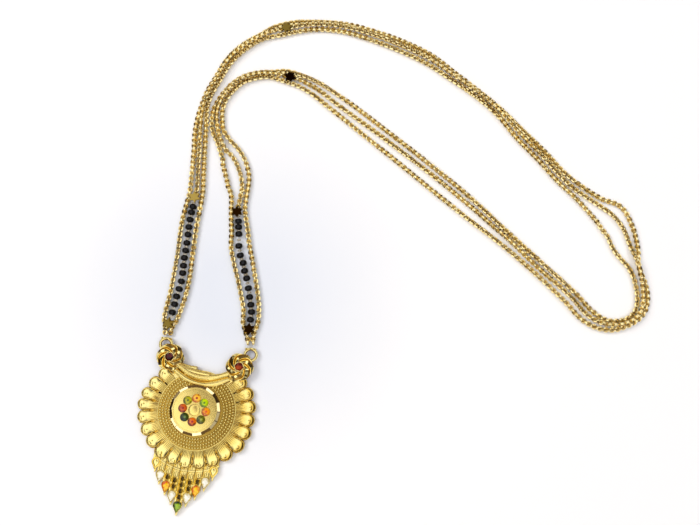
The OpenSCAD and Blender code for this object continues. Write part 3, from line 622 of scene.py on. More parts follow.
def bump_at(d, middle, width):
    """A rounded ridge: exp(-((d - middle) / width) ** 2)."""
    return np.exp(-(((d - middle) / width) ** 2))


def smooth_step(a, b, x):
    """0 below a, 1 above b, and 3 t^2 - 2 t^3 between."""
    t = np.clip((x - a) / (b - a), 0, 1)
    return t * t * (3 - 2 * t)


# %% [markdown]
# ## The petal plate
# One casting carries the field under the medallion and a sunburst of nineteen spoon-shaped
# petals. Nineteen copies of one petal would have to be stitched to the field, so the whole plate is
# one polar grid: one parameter runs round it, the other from the middle to the rim. Each petal is a
# spoon: a round end, sides that draw in towards the root, a thin raised lip and a cut line outside
# it. Its root and the web between two spoons are fluted.

# %% Petal layout
# Radius of a petal's tip, how far its corners are drawn in, how round that is, and half the width
# in degrees of the two petals beside the crest on the crest's side
PETAL_REACH, PETAL_ROUND, PETAL_END_SHARE, END_HALF = 20.4, 2.1, 0.96, 7.25
# Heights of the field, of a petal's root and of its rim
FIELD_H, RIDGE_H, RIM_H = 2.0, 1.95, 1.7
# Radii of the field, of the petals' roots, and of the plate behind the crest and at its two ends,
# which take up some degrees each
FIELD_R, ROOT_R, CREST_R, CREST_END_R, CREST_END_WIDE = 13.0, 13.85, 14.1, 16.0, 8
# Columns: angle of each petal's middle, and how far it reaches past PETAL_REACH
PETALS = np.array([
    [141, -0.8], [156, -0.4], [170, 0.2], [181, 0.5], [194.5, 0.3], [209, -0.1], [222.5, -0.2],
    [239.5, 0], [253.5, -0.5], [268, -0.6], [283.7, -0.6], [298.7, -0.3], [314, -0.2], [330, 0.4],
    [345, 0.2], [359, 0], [373, 0.1], [387.5, 0.1], [402, -0.4],
])
# Part of the room between two petals' middle lines that a spoon's round end takes up, how much of
# that the sides lose towards the root, and how far from the tip they start and end to lose it
SPOON_SHARE, SPOON_WAIST, WAIST_FROM, WAIST_TO = 0.97, 0.34, 2.1, 6.4
# Columns: share of the way from root to tip, and the bowl's depth there
DEPTH = np.array([[0, 0.0], [0.15, 0.06], [0.35, 0.24], [0.6, 0.5], [0.85, 0.6], [1, 0.6]])
# Angles of the narrow holes pierced at four petals' roots, the radius of their middles, the radius
# at which their width is taken, and half their width and length
ROOT_HOLES = np.array([148.5, 163, 21, 34])
HOLE_R, HOLE_WIDTH_R, HOLE_HALF_WIDE, HOLE_HALF_LONG = 14.45, 14.35, 0.2, 0.5
print("petals:", len(PETALS))


def petal_columns(half=30, crest=48):
    """Round the plate: angle, outer radius, place across the petal (-1 to 1), half width in
    degrees and radius of the petal's tip. Places crowd towards the lips: 1 - (1 - s) ** 1.35.
    The crest has no petals."""
    s = 1 - (1 - np.arange(half + 1) / half) ** 1.35
    u = np.concatenate([-s[:0:-1], s[:-1]])[None]
    middle = PETALS[:, 0]
    low = np.concatenate([[middle[0] - END_HALF], (middle[1:] + middle[:-1]) / 2])
    high = np.concatenate([low[1:], [middle[-1] + END_HALF]])
    wide = np.where(u < 0, (middle - low)[:, None], (high - middle)[:, None])
    angle = middle[:, None] + u * wide
    reach = PETAL_REACH + PETALS[:, 1:] - PETAL_ROUND * (1 - np.sqrt(1 - PETAL_END_SHARE * u * u))
    top = high[-1] + np.arange(crest) * (low[0] + 360 - high[-1]) / crest
    tip = PETAL_REACH + PETALS[:, 1:] + 0 * angle
    petals = np.stack([angle, reach, np.broadcast_to(u, angle.shape), wide, tip], -1).reshape(-1, 5)
    to_end = np.minimum(top - top[0], low[0] + 360 - top)
    edge = CREST_R + (CREST_END_R - CREST_R) * (to_end < CREST_END_WIDE)
    plain = np.column_stack([top, edge, np.ones(crest), np.full(crest, END_HALF), edge])
    return np.concatenate([petals, plain])


# %% Spoons and pierced slots
def spoon_edge(u, r, wide, tip):
    """Distance inside a spoon's outline, distance from its tip and distance off its middle line.
    Near the tip the outline is a circle whose radius takes SPOON_SHARE of the room between the
    middle lines; further in, the half width draws in to two thirds of that at the root."""
    end_r = SPOON_SHARE * np.radians(wide) * (tip - PETAL_ROUND)
    off = u * np.radians(wide)
    along, across = tip - r * np.cos(off), np.abs(r * np.sin(off))
    round_end = end_r - np.hypot(end_r - along, across)
    half = end_r * (1 - SPOON_WAIST * smooth_step(WAIST_FROM, WAIST_TO, along))
    return np.where(along < end_r, round_end, half - across), along, off * r


def slot_at(angle, r):
    """1 inside the narrow holes pierced at four petals' roots, 0 outside."""
    off = np.abs((angle[None] - ROOT_HOLES[:, None] + 180) % 360 - 180).min(0)
    inside = (np.radians(off) * HOLE_WIDTH_R < HOLE_HALF_WIDE) & (np.abs(r - HOLE_R) < HOLE_HALF_LONG)
    return inside.astype(float)


# %% Petal plate surface
def petal_plate():
    """Height over a petal = ridge(t) + lip - groove - depth(t) * bowl(edge) + flutes, where edge
    is the distance inside the spoon's outline and bowl = 1 - (1 - (edge - 0.22) / 1.5) ** 2. Lip
    and groove are ridges of exp(-x ** 2) at 0.17 mm inside and 0.1 mm outside the outline. The
    flutes, cos(8 pi u), fade out by the middle. t runs from root to end. The web between two
    spoons, the line between two petals, a pit 2 mm from each tip and the pierced holes lie lower.
    Painted shade fills the grooves, the holes, the pits and the flutes and darkens the roots, more on
    the right, and a painted dark reflection lies on the outer ends on the right."""
    angle, reach, u, wide, tip = petal_columns().T
    a = np.radians(angle)
    t = (1 - (1 - np.linspace(0, 1, 50)) ** 1.3)[:, None]
    r = ROOT_R + t * (reach - ROOT_R)
    edge, along, across = spoon_edge(u, r, wide, tip)
    side = (1 - np.abs(u)) * r * np.radians(wide)
    is_petal = (np.abs(u) < 1).astype(float)
    drawn = smooth_step(14.3, 16.2, r) * is_petal
    ridge = RIDGE_H + (RIM_H - RIDGE_H) * smooth_step(0.5, 0.95, t)
    bowl = 1 - (1 - np.clip((edge - 0.22) / 1.5, 0, 1)) ** 2
    fluted = (1 - smooth_step(0.25, 0.55, t)) * is_petal
    flutes = np.cos(np.pi * 8 * u) * fluted
    lip = 0.12 * bump_at(edge, 0.17, 0.11) * drawn
    groove = 0.22 * bump_at(edge, -0.1, 0.09) * drawn
    web = 0.12 * smooth_step(-0.1, -0.4, edge) * drawn
    border = 0.25 * bump_at(side, 0, 0.1) * smooth_step(17.6, 18.6, r) * is_petal
    pit = np.exp(-((along - 2.0) ** 2 + across ** 2) / 0.04) * is_petal
    hole = slot_at(angle, r)
    hollow = np.interp(t, *DEPTH.T) * bowl * is_petal
    z = ridge + 0.05 * flutes + lip - groove - web - border - 0.12 * pit - hollow - 1.55 * hole
    # Painted shade: dark lines in the grooves and between petals, dark roots and flute troughs, more on the
    # right
    shade = 0.95 * np.maximum(bump_at(edge, -0.1, 0.09) * drawn, border / 0.25)
    right = np.clip(np.cos(a), 0, 1) * is_petal
    root = (0.4 + 0.2 * right - 0.4 * flutes) * (1 - smooth_step(0.1, 0.6 + 0.2 * right, t)) * is_petal
    # Painted dark reflection on the outer ends of the petals on the right
    dull = 0.75 * right * smooth_step(0.6, 0.9, t) * smooth_step(0, 0.3, edge)
    grime_and_shade = np.clip(np.maximum(np.maximum(shade, root), dull) + 0.5 * pit + hole, 0, 1)
    inner = np.array([[0.4], [8], [9.2], [10], [11], [12], [FIELD_R]])
    field_r = np.broadcast_to(inner, (len(inner), len(a)))
    wall = np.array([0.0, 0.01, 0.0, -0.12])[:, None] + reach
    wall_z = np.stack([z[-1] - 0.08, z[-1] - 0.3, np.full(len(a), 0.15), np.zeros(len(a))])
    under = np.array([[FIELD_R], [0.4]]) + 0 * a
    radius = np.concatenate([field_r, r, wall, under])
    height = np.concatenate([FIELD_H + 0 * field_r, z, np.maximum(wall_z, 0), 0 * under])
    # Painted shade on the field between the grains, a little darker on the right, and on the outer wall
    painted_shade_and_dirt = np.concatenate([0.73 + 0.05 * np.cos(a) + 0 * field_r, grime_and_shade, 0.45 + 0 * wall, 0 * under])
    grid = np.stack([radius * np.cos(a), radius * np.sin(a), height], -1)
    return skin(grid), np.concatenate([painted_shade_and_dirt.ravel(), [0, 0]])


plate, grime_and_shade = petal_plate()
add_piece("petal_plate", in_pendant(plate), cast_gold, ["pendant_body"], grime_and_shade)

# %% [markdown]
# ## Grains and rings
# Between the medallion and the petals lie rings of small gold grains, soldered side by side, with
# a plain wire round them. The real ones are balls of melted wire. A bump map would only shade
# them, so one ball of a few dozen faces is copied round four circles, each ring half a grain out of
# step with the next.

# %% Grains
# Columns: radius of each ring and height of its grains' middles
GRAIN_RINGS = [[9.55, 2.28], [10.6, 2.25], [11.65, 2.22], [12.65, 2.18]]
GRAIN_R, GRAIN_STEP = 0.46, 0.97
RIM_WIRE_R, RIM_WIRE = 13.45, 0.18
# Columns of both bars: x and y of a point of the upper edge, and of the lower edge across from it
UPPER_BAR = np.array([
    [-9.6, 15.5, -10.4, 14.4], [-7.2, 14.3, -8.5, 13.2], [-4.7, 13.4, -5.9, 11.8],
    [-2.1, 12.9, -3.3, 10.9], [0.3, 12.8, -0.8, 10.6], [2.3, 13.05, 1.5, 10.75],
    [5, 13.7, 4.3, 11.4], [8.8, 15.4, 8.6, 13.1]
])
LOWER_BAR = np.array([
    [-10.6, 14.1, -10.7, 12.2], [-8.4, 12.9, -8, 10.4], [-6, 11.7, -5.2, 9.1],
    [-3.5, 10.75, -2.2, 8.6], [-1.3, 10.35, 0.4, 8.5], [0.8, 10.45, 2.8, 8.5],
    [3.2, 11.2, 5.2, 9.1], [8.4, 13.2, 9.8, 11.7]
])


def grain_field():
    """Grain k of a ring stands at the angle 2 pi (k + shift) / n, with a shift of half a grain on
    every other ring. Grains under the crest's lower bar are left out. Painted shade darkens
    the lower half of each, and a little more on the right: 0.84 + 0.16 cos(angle)."""
    t = np.linspace(0.2, np.pi - 0.6, 6)
    grain = turned(np.stack([GRAIN_R * np.sin(t), GRAIN_R * np.cos(t)], -1), 10)
    # Painted shade on the lower half of each grain
    grime_and_shade = np.clip(0.45 - 1.6 * grain[0][:, 2] / GRAIN_R, 0, 1)
    places = []
    for k, (r, z) in enumerate(GRAIN_RINGS):
        count = round(2 * np.pi * r / GRAIN_STEP)
        a = (np.arange(count) + 0.5 * (k % 2)) * 2 * np.pi / count
        places.append(np.stack([r * np.cos(a), r * np.sin(a), np.full(count, z)], -1))
    places = np.concatenate(places)
    bar_y = np.interp(places[:, 0], LOWER_BAR[:, 2], LOWER_BAR[:, 3], left=np.inf, right=np.inf)
    places = places[places[:, 1] < bar_y + 0.1]
    print("grains:", len(places))
    # Painted shade, a little stronger on the grains on the right
    grime_and_shade = grime_and_shade * (0.84 + 0.16 * places[:, :1] / np.hypot(places[:, :1], places[:, 1:2]))
    return copies(grain, places, [1, 0, 0], [0, 1, 0], [0, 0, 1]), grime_and_shade.ravel()


rim_wire = moved(wire_ring(RIM_WIRE_R, RIM_WIRE, 140, 10), [0, 0, FIELD_H + 0.08])
grains, grime_and_shade = grain_field()
add_piece("grain_rings", in_pendant(grains), cast_gold, painted_shade_and_dirt=grime_and_shade)
add_piece("rim_wire", in_pendant(rim_wire), cast_gold)

# %% [markdown]
# ## Crest bars
# Two bars lie over the top of the plate like folded ribbons, and three feather blades lie along
# the upper one. A curve with a bevel has one width, and these widen and narrow, so each is given by
# points of its upper and lower edge. The ribbon between them is arched, and fine lengthwise lines
# are cut into it.


# %% Bars and feather blades
def ribbon(rows, height, edge_drop=0.7, cuts=(0.3, 0.7), line_depth=0.07, under=0.1, along=72):
    """A point at s along and q across a ribbon lies between its two edges; its height is
    height - drop * (1 - arch(q)), arch = sin(pi q) ** 0.7, less a narrow line at each cut."""
    rows = np.asarray(rows, float)
    line = smooth_line(rows, np.linspace(0, chords(rows)[-1], along))
    q = np.linspace(0, 1, 34)
    arch = np.sin(np.pi * q) ** 0.7
    line_at = bump_at(q[:, None], np.array(cuts), 0.03).sum(1)
    cut = line_depth * line_at
    z = height - edge_drop * (1 - arch) - cut
    q = np.concatenate([q, [1.0, 0.98, 0.02, 0.0]])
    z = np.concatenate([z, [under + 0.1, under, under, under + 0.1]])
    xy = line[:, None, :2] + q[:, None] * (line[:, None, 2:] - line[:, None, :2])
    # Painted shade along the sloping edges, in the cut lines and under the ribbon
    grime_and_shade = np.concatenate([np.clip(0.5 * (1 - arch) ** 2 + 0.6 * line_at, 0, 1), [0.7, 0.6, 0.6, 0.7]])
    part = skin(np.concatenate([xy, np.broadcast_to(z[None, :, None], (along, len(z), 1))], -1))
    return part, np.concatenate([np.tile(grime_and_shade, along), [0.3, 0.3]])


# Columns: x and y of a blade's start and of its end, and its height
FEATHERS = [
    [-9.9, 16.2, -2.75, 15.15, 2.5], [-9.8, 15.6, -0.4, 14.05, 2.8], [-9.6, 15, 2.25, 13.5, 3.05]
]
FEATHER_W = 1.25


def feather(x0, y0, x1, y1, height):
    """A blade from the rosette to its square end, bent a little downwards: a ribbon with one line
    cut along it."""
    start, end = np.array([x0, y0]), np.array([x1, y1])
    ahead = unit(end - start)
    aside = FEATHER_W * np.array([ahead[1], -ahead[0]])
    bend = np.array([0, -0.3, -0.4, -0.25, 0])
    share = np.linspace(0, 1, 5)[:, None]
    line = start + share * (end - start) + bend[:, None] * [-ahead[1], ahead[0]]
    return ribbon(np.hstack([line, line + aside]), height, 0.3, (0.3,), 0.06, 0.1, 30)


crest = [
    ribbon(UPPER_BAR, 3.3, 0.7, (0.28, 0.5, 0.74), 0.05),
    ribbon(LOWER_BAR, 2.8, 0.7, (0.35, 0.68), 0.06),
]
crest += [feather(*f) for f in FEATHERS]
add_piece(
    "crest_bars", in_pendant(join(*[c[0] for c in crest])), cast_gold,
    painted_shade_and_dirt=np.concatenate([c[1] for c in crest]),
)

# %% [markdown]
# ## Rosettes, bezels and stones
# A domed rosette closes each end of the crest. Its petals swirl round the bezel, each lapping over
# the next. Six bent petals could be made and joined, but where they overlap the casting is one
# skin, so the height rises slowly round the dome and then drops: a softened saw tooth whose phase
# turns with the radius. The left one swirls one way, the right one the other.

# %% Rosettes
# Each rosette's x and y in the pendant's frame, and the way that its petals turn
ROSETTES = {"left": (-12.6, 16.8, 1), "right": (12.0, 17.2, -1)}
ROSETTE_R, POST_R, DOME_R, LOBES, SWIRL = 4.8, 1.6, 5, 6, math.radians(95)


def rosette(x, y, way):
    """Height = edge + rise * sqrt(1 - (r / dome radius) ** 2) + fold * (saw(phase) - 0.6), with
    phase = lobes * (angle - way * swirl * share ** 0.8), where share runs from post to rim, and
    saw rising over 0.8 of a turn. Painted shade lies at the foot of each fold."""
    a = np.arange(168) * 2 * np.pi / 168
    reach = ROSETTE_R + 0.2 * np.cos(LOBES * a)
    share = np.linspace(0, 1, 26)[:, None]
    r = POST_R + share * (reach - POST_R)
    phase = (LOBES * (a - way * SWIRL * share ** 0.8) * way / (2 * np.pi)) % 1
    saw = np.where(phase < 0.8, phase / 0.8, (1 - phase) / 0.2)
    fold = 0.8 * np.sin(np.pi * np.clip(0.12 + share * 0.8, 0, 1)) ** 0.8
    dome = 2.5 + 1.35 * np.sqrt(np.maximum(0, 1 - (r / DOME_R) ** 2))
    z = dome + fold * (saw - 0.6)
    # Painted shade at the foot of each fold; the wall and the post get some too
    grime_and_shade = np.clip(1.0 - saw * 2.8, 0, 1) * np.ones_like(share)
    wall = reach - np.array([0.0, 0.08, 0.5])[:, None]
    wall_z = np.array([2.35, 2.1, 2.05])[:, None] + 0 * a
    post = np.array([[POST_R], [POST_R]]) + 0 * a
    post_z = np.array([[2.05], [0.2]]) + 0 * a
    radius, height = np.concatenate([r, wall, post]), np.concatenate([z, wall_z, post_z])
    grime_and_shade = np.concatenate([grime_and_shade, 0.4 + 0 * wall, 0.4 + 0 * post])
    grid = np.stack([x + radius * np.cos(a), y + radius * np.sin(a), height], -1)
    return skin(grid), np.concatenate([grime_and_shade.ravel(), [0.5, 0.4]])


# Profile of a stone's bezel: radius and height
BEZEL = [
    [0.3, 3.7], [1.52, 3.72], [1.54, 4.1], [1.58, 4.19], [1.68, 4.22], [1.78, 4.16], [1.84, 3.95],
    [1.85, 3.0], [0.3, 2.6],
]
for side, (x, y, way) in ROSETTES.items():
    body, grime_and_shade = rosette(x, y, way)
    bezel = moved(turned(BEZEL, 40), [x, y, 0])
    both = join(body, bezel)
    grime_and_shade = np.concatenate([grime_and_shade, np.zeros(len(bezel[0]))])
    add_piece(f"rosette_{side}", in_pendant(both), wire_gold, painted_shade_and_dirt=grime_and_shade)

# %% [markdown]
# The two stones are small foiled glass rounds: deep red, cut with a flat table. True glass would
# need a foil behind it to mirror, so the foil's flashes are painted into a glossy red instead. The
# solid model's stones already have the cut, so they keep their shape.

# %% Red glass on the stones
def red_glass(name, deep, bright):
    """Foiled glass: each painted flash of the foil takes its own mix of the deep and the bright red."""
    made, tree, shader, place = finish(name, Roughness=0.08, IOR=1.54, Specular_IOR_Level=0.25)
    flash = add_node(tree, "ShaderNodeTexVoronoi", {"Vector": place, "Scale": per_mm(0.75)})
    lively = add_node(tree, "ShaderNodeSeparateColor", {0: flash.outputs["Color"]}).outputs[0]
    reds = {0: lively, 6: linear(deep), 7: linear(bright)}
    red = add_node(tree, "ShaderNodeMix", reds, data_type="RGBA")
    tree.links.new(red.outputs[2], shader.inputs["Base Color"])
    return made


def dress(node, material):
    """Gives a solid of the frame its finish and leaves its shape alone."""
    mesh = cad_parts[node].data
    if not mesh.materials:
        mesh.materials.append(material)
    for k in range(len(mesh.materials)):
        mesh.materials[k] = material


# Pressed glass rounds with a foil behind them: the left one is nearly black, the right one lively.
dress("stone_left", red_glass("foiled_maroon_glass", "#140101", "#5C0A06"))
dress("stone_right", red_glass("foiled_red_glass", "#3C0A04", "#B04410"))
print("dressed:", [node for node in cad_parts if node.startswith("stone")])

# %% [markdown]
# ## Medallion
# The medallion is a thick disc with sixteen flat facets round its edge and a softly crowned,
# brushed top. A cylinder of sixteen sides with a bevel would give the facets but not the round
# crown and its turned groove, so profile and polygon are worked out together: a row that follows
# the polygon has the radius r cos(half) / cos(angle from the facet's middle). Eight little cups
# stand on it in a ring, round a domed boss.

# %% Medallion body
# The medallion's foot: x, y and height in the pendant's frame
MEDALLION = (-0.5, 0.15, 2.1)
MEDALLION_H, SIDES, SIDE_COLUMNS, FACET_TURN = 2.0, 16, 12, math.radians(-6.5)


def medallion(rows):
    """Rows of (radius, height against the top, share of the polygon) turned round the middle. The
    corners of the polygon are pulled out by cos(half) / cos(angle from the facet's middle)."""
    a = np.arange(SIDES * SIDE_COLUMNS) * 2 * np.pi / (SIDES * SIDE_COLUMNS)
    half = np.pi / SIDES
    polygon = np.cos(half) / np.cos((a - FACET_TURN + half) % (2 * half) - half)
    rows = np.array(rows)
    r = rows[:, :1] * (1 + rows[:, 2:] * (polygon - 1))
    z = MEDALLION_H + rows[:, 1:2] + 0 * a
    return skin(np.stack([r * np.cos(a), r * np.sin(a), z], -1))


# Columns of both: radius, height against the top, and 1 where the row follows the polygon
CROWN = [
    [0.4, 0, 0], [2.5, -0.015, 0], [4.5, -0.06, 0], [6, -0.13, 0], [6.9, -0.19, 0], [7.2, -0.215, 0],
    [7.27, -0.25, 0], [7.34, -0.22, 0], [7.7, -0.24, 0], [7.82, -0.3, 0], [7.82, -0.6, 0], [0.4, -0.6, 0],
]
FACETS = [
    [0.4, -0.5, 0], [7.75, -0.27, 1], [7.92, -0.28, 1], [8.8, -0.95, 1], [8.84, -1.08, 1], [8.84, -1.9, 1],
    [8.7, -2.0, 1], [0.4, -2.0, 1],
]
CUPS, CUP_RING_R = 8, 4.05
# Profiles of a cup and of the boss: radius and height over the medallion's foot
CUP = [
    [0.2, 1.75], [1.46, 1.75], [1.47, 2.2], [1.48, 2.3], [1.5, 2.33], [1.53, 2.3], [1.55, 2.2],
    [1.56, 1.65], [0.2, 1.6],
]
BOSS = [
    [0.05, 2.52], [0.5, 2.51], [1.0, 2.48], [1.5, 2.42], [1.8, 2.32], [2.0, 2.2], [2.06, 2.0],
    [2.06, 1.6], [0.05, 1.6],
]
angles = math.pi + np.arange(CUPS) * 2 * np.pi / CUPS
cup_places = np.stack([CUP_RING_R * np.cos(angles), CUP_RING_R * np.sin(angles), 0 * angles], -1)
cups = copies(turned(CUP, 36), cup_places, [1, 0, 0], [0, 1, 0], [0, 0, 1])
whole = join(medallion(CROWN), cups, turned(BOSS, 56))
add_piece(
    "medallion_with_cups", in_pendant(moved(whole, MEDALLION)), brushed_gold,
    ["medallion"], crease=18,
)
facets = moved(medallion(FACETS), MEDALLION)
add_piece("medallion_facets", in_pendant(facets), facet_gold, crease=12)

# %% [markdown]
# ## Enamel
# The cups and drops are filled with cold enamel: tinted, glossy resin over the gold. It is palest
# and thinnest in the middle and darker against the wall, where painted shade darkens it further.
# Clear resin with absorption would need many light bounces for a drop of 3 mm, so the colour is
# laid on the surface: a number named share, 0 in the middle and 1 at the wall, carries it, and
# also a painted light that makes each fill paler on its lit side. The cups also show a small dot
# in their middle.


# %% Enamel finish
def enamel(name, middle, wall, dot=None, dot_size=0.15):
    """Resin over gold: colour runs from middle to wall as share + 2 * cloud - 1 grows from 0.3 to
    0.95, where cloud is noise of 0.8 mm. A dot lies inside dot_size. The gloss is that of resin
    poured and left to set."""
    made, tree, shader, place = finish(name, Roughness=0.1, IOR=1.48)
    share = add_node(tree, "ShaderNodeAttribute", attribute_name="share").outputs["Fac"]
    cloud = add_node(tree, "ShaderNodeTexNoise", {"Vector": place, "Scale": per_mm(0.8), "Detail": 3.0})
    doubled = {0: cloud.outputs[0], 1: 2.0, 2: -1.0}
    shaken = add_node(tree, "ShaderNodeMath", doubled, operation="MULTIPLY_ADD")
    total = add_node(tree, "ShaderNodeMath", {0: share, 1: shaken.outputs[0]}, operation="ADD")
    span = {"Value": total.outputs[0], "From Min": 0.3, "From Max": 0.95}
    spread = add_node(tree, "ShaderNodeMapRange", span)
    colour = add_node(
        tree, "ShaderNodeMix",
        {0: spread.outputs[0], 6: linear(middle), 7: linear(wall)},
        data_type="RGBA",
    ).outputs[2]
    if dot:
        inside = add_node(
            tree, "ShaderNodeMapRange",
            {
                "Value": share, "From Min": dot_size * 0.8, "From Max": dot_size * 1.5,
                "To Min": 1.0, "To Max": 0.0,
            },
        )
        colour = add_node(
            tree, "ShaderNodeMix",
            {0: inside.outputs[0], 6: colour, 7: linear(dot)},
            data_type="RGBA",
        ).outputs[2]
    tree.links.new(colour, shader.inputs["Base Color"])
    waves = {"Height": cloud.outputs[0], "Strength": 0.15, "Distance": 0.05 * MM}
    skin_bump = add_node(tree, "ShaderNodeBump", waves)
    tree.links.new(skin_bump.outputs[0], shader.inputs["Normal"])
    return made


# Cold enamel: tinted resin, poured into the cups and left to set. Each has a colour for its middle,
# one for its wall, darkened there with painted shade, and, in the cups, one for its dot.
ENAMELS = {
    "red_brown": enamel("red_brown_cold_enamel", "#CE5C1C", "#6A1C04", "#8E1004"),
    "red_orange": enamel("red_orange_cold_enamel", "#DE6A10", "#641A03", "#A01604"),
    "orange": enamel("orange_cold_enamel", "#F29A1A", "#983206", "#D85008"),
    "yellow_orange": enamel("yellow_orange_cold_enamel", "#F8BE38", "#B8560C", "#A01804"),
    "dark_green": enamel("dark_green_cold_enamel", "#3A4A14", "#0A0E02", "#66803A"),
    "olive": enamel("olive_green_cold_enamel", "#6E7018", "#1E2204", "#A4A83A"),
    "lime": enamel("lime_cold_enamel", "#C6E012", "#5E7E06", "#567E08"),
    "yellow_green": enamel("yellow_green_cold_enamel", "#BCB41E", "#4A5006", "#5A660A"),
    "amber": enamel("amber_cold_enamel", "#FFCE10", "#D05406"),
    "white": enamel("pearl_white_cold_enamel", "#FCFAEC", "#C8B670"),
    "green_drop": enamel("green_cold_enamel", "#9EBE24", "#1E2C04"),
}
print("enamels:", len(ENAMELS))


def add_enamel(name, grid, kind, replaces, lit=0.7):
    """A domed fill, given as a grid whose first row is the middle and last one the wall's foot.
    share = row / last row of the dome * (0.85 - 0.35 cos(turn - lit)): painted light and shade, the
    resin paler on the side that is lit and darker on the far side."""
    part = skin(grid)
    piece = add_piece(name, in_pendant(part), ENAMELS[kind], [replaces])
    rows = len(grid)
    share = np.clip(np.arange(rows) / (rows - 3), 0, 1)[:, None]
    turn = np.arange(grid.shape[1]) * 2 * np.pi / grid.shape[1]
    share = np.clip(share * (0.85 - 0.35 * np.cos(turn - lit)), 0, 1)
    share = np.concatenate([share.ravel(), [0, 1]])
    made = piece.data.attributes.new("share", "FLOAT", "POINT")
    made.data.foreach_set("value", share.astype(np.float32))
    return piece


# %% Cups of enamel
CUP_FILL_R = 1.45
CUP_KINDS = [
    ("red_brown", "orange_enamel"), ("dark_green", "dark_green_enamel"), ("red_orange", "orange_enamel"),
    ("olive", "dark_green_enamel"), ("orange", "orange_enamel"), ("lime", "lime_enamel"),
    ("yellow_orange", "orange_enamel"), ("yellow_green", "lime_enamel"),
]
share = np.linspace(0.06, 1, 12)
fill_r = np.concatenate([share * CUP_FILL_R, [CUP_FILL_R, 0.1]])
fill_z = np.concatenate([2.13 + 0.08 * (1 - share ** 2), [1.88, 1.86]])
t = np.arange(32) * 2 * np.pi / 32
for k, ((x, y, _), (kind, slot)) in enumerate(zip(cup_places, CUP_KINDS), 1):
    grid = np.stack(
        [
            MEDALLION[0] + x + fill_r[:, None] * np.cos(t),
            MEDALLION[1] + y + fill_r[:, None] * np.sin(t),
            np.broadcast_to((MEDALLION[2] + fill_z)[:, None], (len(fill_r), 32)),
        ],
        -1,
    )
    add_enamel(f"cup_fill_{k}", grid, kind, f"cup_enamel_{k}")

# %% [markdown]
# ## Fringe
# A pierced fringe hangs under the middle petals: nine columns of oval openings, thin ridges
# between them, a rail along their top and a pointed drop at each foot. Booleans could cut the
# openings but leave hard edges. Half a column is a band carried down the column instead: its inner
# edge steps aside round every opening and rises there to a soft lip.

# %% Fringe columns
# The fringe's middle, the radius at which its columns start under the petals, and the rail's radius
# and half width
FRINGE_X, FRINGE_TOP_R, RAIL_R, RAIL_HALF = -0.5, 18.0, 20.35, 0.4
# Columns: how far a column stands to either side of the middle, and y of the drop at its foot
COLUMNS = np.array([[0, -32.7], [2.6, -29.5], [5.2, -26.75], [7.8, -23.5], [10, -19.6]])
# Half a column's width, and the step at which a band is worked out
COLUMN_HALF, BAND_STEP = 1.34, 0.1
# An opening's width and length, the way from one to the next and from the drop to the first
HOLE_W, HOLE_L, HOLE_PITCH, FIRST_HOLE = 0.95, 1.45, 2.05, 3.4
PLACES = np.array([[FRINGE_X + np.sign(k) * COLUMNS[abs(k), 0], COLUMNS[abs(k), 1]] for k in range(-4, 5)])


def half_column(x, foot, way):
    """At height y the band reaches from the opening's edge w(y) out to the column's side. w is
    an oval's half width, sqrt(1 - (d / half length) ** 2) over each opening and 0 between. Its
    section: q is the share of the way out, base the height, lift what the lip adds."""
    top = -math.sqrt(FRINGE_TOP_R ** 2 - x * x)
    y = np.arange(foot + 1, top, BAND_STEP)
    last = -math.sqrt((RAIL_R + RAIL_HALF) ** 2 - x * x) - HOLE_L / 2 - 1.2
    # A place far away stands in for the openings of a column that is too short to have any
    middles = np.array([*np.arange(foot + FIRST_HOLE, last, HOLE_PITCH), 1e3])
    d = np.abs(y[:, None] - middles).min(1)
    w = HOLE_W / 2 * np.sqrt(np.maximum(0, 1 - (d / (HOLE_L / 2)) ** 2))
    lip = smooth_step(1.5, 0.9, d)
    q = np.array([0, 0, 0.06, 0.16, 0.3, 0.48, 0.7, 0.96, 1, 1, 0.9, 0.06])
    base = np.array([0.12, 1.25, 1.34, 1.38, 1.33, 1.2, 1.15, 1.15, 1.1, 0.12, 0.1, 0.1])
    lift = np.array([0, 0.1, 0.2, 0.22, 0.16, 0.05, 0, 0, 0, 0, 0, 0])
    z = base + lift * lip[:, None]
    out = w[:, None] + q * (COLUMN_HALF - w[:, None]) - 0.03 * (w[:, None] < 0.05) * (q < 0.01)
    grid = np.stack([x + way * out, np.broadcast_to(y[:, None], out.shape), z], -1)
    # Painted shade on the walls of the openings and under the band
    grime_and_shade = np.array([0.9, 0.75, 0.15, 0, 0, 0.1, 0.2, 0.1, 0.05, 0.2, 0.2, 0.9])
    grime_and_shade = np.broadcast_to(grime_and_shade, z.shape)
    return skin(grid), np.concatenate([grime_and_shade.ravel(), [0.4, 0.4]])


bands = [half_column(x, y, way) for x, y in PLACES for way in (-1, 1)]
print("half columns:", len(bands))

# %% Ridges, rail and arches
# Outline of a ridge, across and up, and the heights at which ridges and rail start
RIDGE = np.array([[0.17, 0], [0.17, 0.55], [0.1, 0.68], [0, 0.72], [-0.1, 0.68], [-0.17, 0.55], [-0.17, 0]])
RIDGE_Z, RAIL_Z = 1.15, 1.05


def ridge(a, b):
    """A thin rounded ridge over the joint of two columns: RIDGE carried straight up from 2 mm over
    the higher drop to the petals."""
    x = (PLACES[a, 0] + PLACES[b, 0]) / 2
    low = max(PLACES[a, 1], PLACES[b, 1]) + 2
    y = np.linspace(low, -math.sqrt(FRINGE_TOP_R ** 2 - x * x), 40)
    path = np.stack([np.full(40, x), y, np.full(40, RIDGE_Z)], -1)
    return carried(path, RIDGE)


